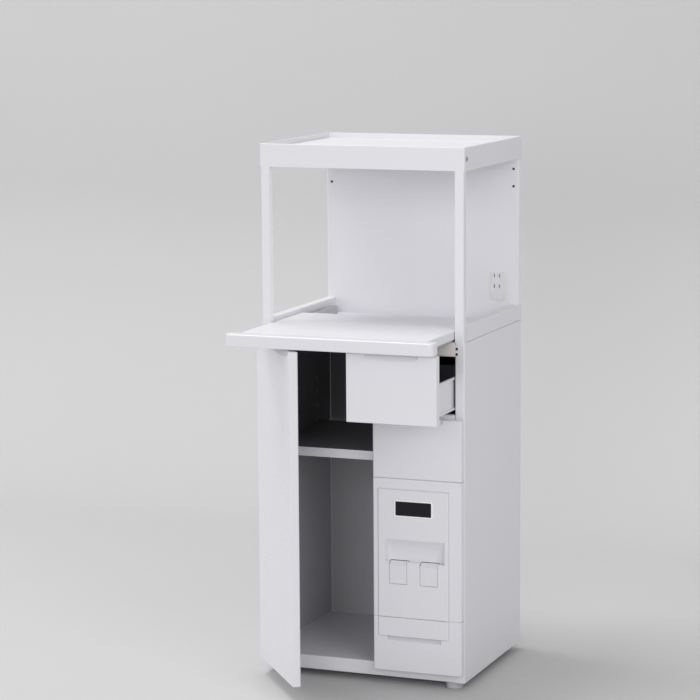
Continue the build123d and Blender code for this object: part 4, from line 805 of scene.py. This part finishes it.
class STAND_OT_pin_sockets(bpy.types.Operator):
    """Adds the rows of shelf-pin sockets on the cupboard's two walls"""

    bl_idname = "stand.pin_sockets"
    bl_label = "Shelf-pin sockets"

    def execute(self, context):
        fit = context.scene.stand_fittings
        pin_low, pin_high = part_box("shelf_pins")
        pin_radius = (pin_high.z - pin_low.z) / 2
        steps = np.arange(-fit.socket_steps, fit.socket_steps + 1)
        steps = steps[steps != 0]
        heights = pin_low.z + pin_radius + steps * fit.socket_pitch
        columns = np.array((pin_low.y + pin_radius, pin_high.y - pin_radius))
        y, z = np.meshgrid(columns, heights, indexing="ij")
        radius_shares = np.array((1.0, 1.0, 0.86, 0.62, 0.6))
        rise_shares = np.array((0.5, 1.0, 1.0, 0.1))
        radii = fit.socket_radius * radius_shares
        rises = np.concatenate(([-skin], fit.socket_rise * rise_shares))
        for side, wall_x, outward in (("left", pin_low.x, 1.0), ("right", pin_high.x, -1.0)):
            places = np.stack((np.full(y.size, wall_x), y.ravel(), z.ravel()), axis=-1)
            points, faces = turned_heads(places, (outward, 0.0, 0.0), radii, rises, turns=20)
            put_piece(f"pin_sockets_{side}", points, faces, "steel", "cabinet")
        return {"FINISHED"}


def drawer_spots(inset):
    """Places of the buffers on the drawer front's inner face, with the upper two below the pull."""
    low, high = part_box("drawer_front")
    below_pull = 2.4 * inset
    heights = (low.z + inset, high.z - below_pull)
    return [(x, high.y, z) for x in (low.x + inset, high.x - inset) for z in heights]


def door_spots(inset):
    """Places of the buffers on the door's inner face, near its free edge, and the way that it faces."""
    hinge = next(joint for joint in frame["joints"] if joint["name"] == "door_hinge")
    turn = -math.radians(hinge["range_deg"][0])
    along = np.array((math.cos(turn), -math.sin(turn), 0.0))
    inward = np.array((math.sin(turn), math.cos(turn), 0.0))
    pivot = np.array(hinge["pos_m"]) * (1.0, 1.0, 0.0)
    leaf = frame["nodes"]["door_panel"].data.vertices
    board = np.empty(3 * len(leaf))
    leaf.foreach_get("co", board)
    board = board.reshape(-1, 3) - pivot
    edge = pivot + along * ((board @ along).max() - inset) + inward * (board @ inward).max()
    low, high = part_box("door_panel")
    above_foot, below_pull = 3 * inset, 7 * inset
    return [edge + np.array((0.0, 0.0, z)) for z in (low.z + above_foot, high.z - below_pull)], inward


class STAND_OT_buffers(bpy.types.Operator):
    """Adds the soft buffers behind the door and the drawer's front"""

    bl_idname = "stand.buffers"
    bl_label = "Soft buffers"

    def execute(self, context):
        fit = context.scene.stand_fittings
        radii, rises = domed_profile(fit.buffer_radius, fit.buffer_rise)
        points, faces = turned_heads(drawer_spots(fit.buffer_inset), (0.0, 1.0, 0.0), radii, rises)
        put_piece("drawer_buffers", points, faces, "buffer_grey", "drawer")
        spots, inward = door_spots(fit.buffer_inset)
        points, faces = turned_heads(spots, inward, radii, rises)
        put_piece("door_buffers", points, faces, "buffer_grey", "door")
        return {"FINISHED"}


def camera_matrix(stage):
    """World matrix of a camera turned by yaw, tilted down by pitch and rolled about its view."""
    yaw, pitch, roll = stage.camera_yaw, stage.camera_pitch, stage.camera_roll
    right = Vector((math.cos(yaw), math.sin(yaw), 0.0))
    view = Vector((-math.sin(yaw) * math.cos(pitch), math.cos(yaw) * math.cos(pitch), -math.sin(pitch)))
    up = right.cross(view)
    turned_right = math.cos(roll) * right + math.sin(roll) * up
    turned_up = -math.sin(roll) * right + math.cos(roll) * up
    axes = Matrix((turned_right, turned_up, -view)).transposed().to_4x4()
    return Matrix.Translation(stage.camera_place) @ axes


def sweep_surface(stage, steps=24):
    """Floor and backdrop in one: a line along X carried along a floor, a quarter bend and a wall."""
    radius, reach = stage.sweep_radius, stage.sweep_reach
    back = case_high.y + stage.sweep_back
    bend = np.linspace(0, np.pi / 2, steps)
    y = np.concatenate(([-reach], back - radius + radius * np.sin(bend), [back]))
    z = np.concatenate(([0.0], radius - radius * np.cos(bend), [stage.sweep_height]))
    x = np.array((-reach, reach))
    points = np.stack(np.broadcast_arrays(x[None, :], y[:, None], z[:, None]), axis=-1)
    row = 2 * np.arange(len(y) - 1)
    faces = np.stack((row, row + 1, row + 3, row + 2), axis=-1)
    return points, faces.tolist()


def floor_material(stage):
    """Pale paper with a faint grain, clear from behind so that the stand shows from all sides."""
    shade = darker(stage.floor_colour, factor=0.985)
    material = coated(
        "floor_paper", stage.floor_colour, shade, grain=300.0, rough=(0.8, 0.9), relief=(0.03, 0.0001)
    )
    nodes, links = material.node_tree.nodes, material.node_tree.links
    side = nodes.new("ShaderNodeNewGeometry")
    clear = nodes.new("ShaderNodeBsdfTransparent")
    choose = nodes.new("ShaderNodeMixShader")
    links.new(side.outputs["Backfacing"], choose.inputs["Fac"])
    links.new(nodes["Principled BSDF"].outputs["BSDF"], choose.inputs[1])
    links.new(clear.outputs["BSDF"], choose.inputs[2])
    links.new(choose.outputs["Shader"], nodes["Material Output"].inputs["Surface"])
    return material


def soft_lamp(name, spot, target, size, energy):
    """A square area lamp that faces a target."""
    lamp = bpy.data.lights.new(name, "AREA")
    lamp.shape = "SQUARE"
    lamp.size = size
    lamp.energy = energy
    holder = bpy.data.objects.new(name, lamp)
    holder.location = spot
    holder.rotation_euler = (Vector(target) - Vector(spot)).to_track_quat("-Z", "Y").to_euler()
    holder.visible_camera = False
    bpy.context.scene.collection.objects.link(holder)


def room_world(strength):
    """Even white light from all round."""
    world = bpy.data.worlds.new("room")
    world.use_nodes = True
    background = world.node_tree.nodes["Background"]
    background.inputs["Color"].default_value = (1.0, 1.0, 1.0, 1.0)
    background.inputs["Strength"].default_value = strength
    return world


def photo_camera(stage):
    """The camera at the stand's viewing angle."""
    camera = bpy.data.cameras.new("photo_camera")
    camera.sensor_width = stage.camera_sensor
    camera.lens = stage.camera_lens
    camera.shift_x = stage.camera_shift
    holder = bpy.data.objects.new("photo_camera", camera)
    holder.matrix_world = camera_matrix(stage)
    bpy.context.scene.collection.objects.link(holder)
    return holder


class STAND_OT_stage(bpy.types.Operator):
    """Adds the floor, the lamps, the even room light and the camera"""

    bl_idname = "stand.stage"
    bl_label = "Studio"

    def execute(self, context):
        stage = context.scene.stand_stage
        points, faces = sweep_surface(stage)
        floor = link_mesh("studio_floor", points, faces, floor_material(stage), smooth=True)
        soft_lamp("key_lamp", stage.key_place, stage.front_aim, stage.key_size, stage.key_power)
        soft_lamp("top_lamp", stage.top_place, stage.tray_aim, stage.top_size, stage.top_power)
        soft_lamp("left_lamp", stage.left_place, stage.front_aim, stage.left_size, stage.left_power)
        soft_lamp("right_lamp", stage.right_place, stage.front_aim, stage.right_size, stage.right_power)
        context.scene.world = room_world(stage.room_light)
        context.scene.camera = photo_camera(stage)
        context.scene.view_settings.view_transform = "Standard"
        return {"FINISHED"}


class STAND_PT_pieces(bpy.types.Panel):
    """Lists the stand's operators and settings"""

    bl_idname = "STAND_PT_pieces"
    bl_label = "Kitchen Stand"
    bl_space_type = "VIEW_3D"
    bl_region_type = "UI"
    bl_category = "Stand"

    def draw(self, context):
        for operator in OPERATORS:
            self.layout.operator(operator.bl_idname)
        for group in (context.scene.stand_finishes, context.scene.stand_fittings, context.scene.stand_stage):
            box = self.layout.box()
            for name in group.__annotations__:
                box.prop(group, name)


OPERATORS = (
    STAND_OT_finishes,
    STAND_OT_window_bezel,
    STAND_OT_seam_lips,
    STAND_OT_return_coils,
    STAND_OT_well_ribs,
    STAND_OT_post_returns,
    STAND_OT_apron_seams,
    STAND_OT_rail_plugs,
    STAND_OT_rear_screws,
    STAND_OT_pin_sockets,
    STAND_OT_buffers,
    STAND_OT_stage,
)
GROUPS = {"stand_finishes": StandFinishes, "stand_fittings": StandFittings, "stand_stage": StandStage}


def register():
    """Registers the classes and hangs the settings on the scene."""
    for group in (*GROUPS.values(), *OPERATORS, STAND_PT_pieces):
        bpy.utils.register_class(group)
    for name, group in GROUPS.items():
        setattr(bpy.types.Scene, name, PointerProperty(type=group))


def unregister():
    """Takes the settings off the scene and removes the classes."""
    for name in GROUPS:
        delattr(bpy.types.Scene, name)
    for group in reversed((*GROUPS.values(), *OPERATORS, STAND_PT_pieces)):
        bpy.utils.unregister_class(group)


def main():
    """Registers the add-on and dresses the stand."""
    register()
    bpy.ops.stand.finishes()
    bpy.ops.stand.window_bezel()
    bpy.ops.stand.seam_lips()
    bpy.ops.stand.return_coils()
    bpy.ops.stand.well_ribs()
    bpy.ops.stand.post_returns()
    bpy.ops.stand.apron_seams()
    bpy.ops.stand.rail_plugs()
    bpy.ops.stand.rear_screws()
    bpy.ops.stand.pin_sockets()
    bpy.ops.stand.buffers()
    bpy.ops.stand.stage()


if __name__ == "__main__":
    main()
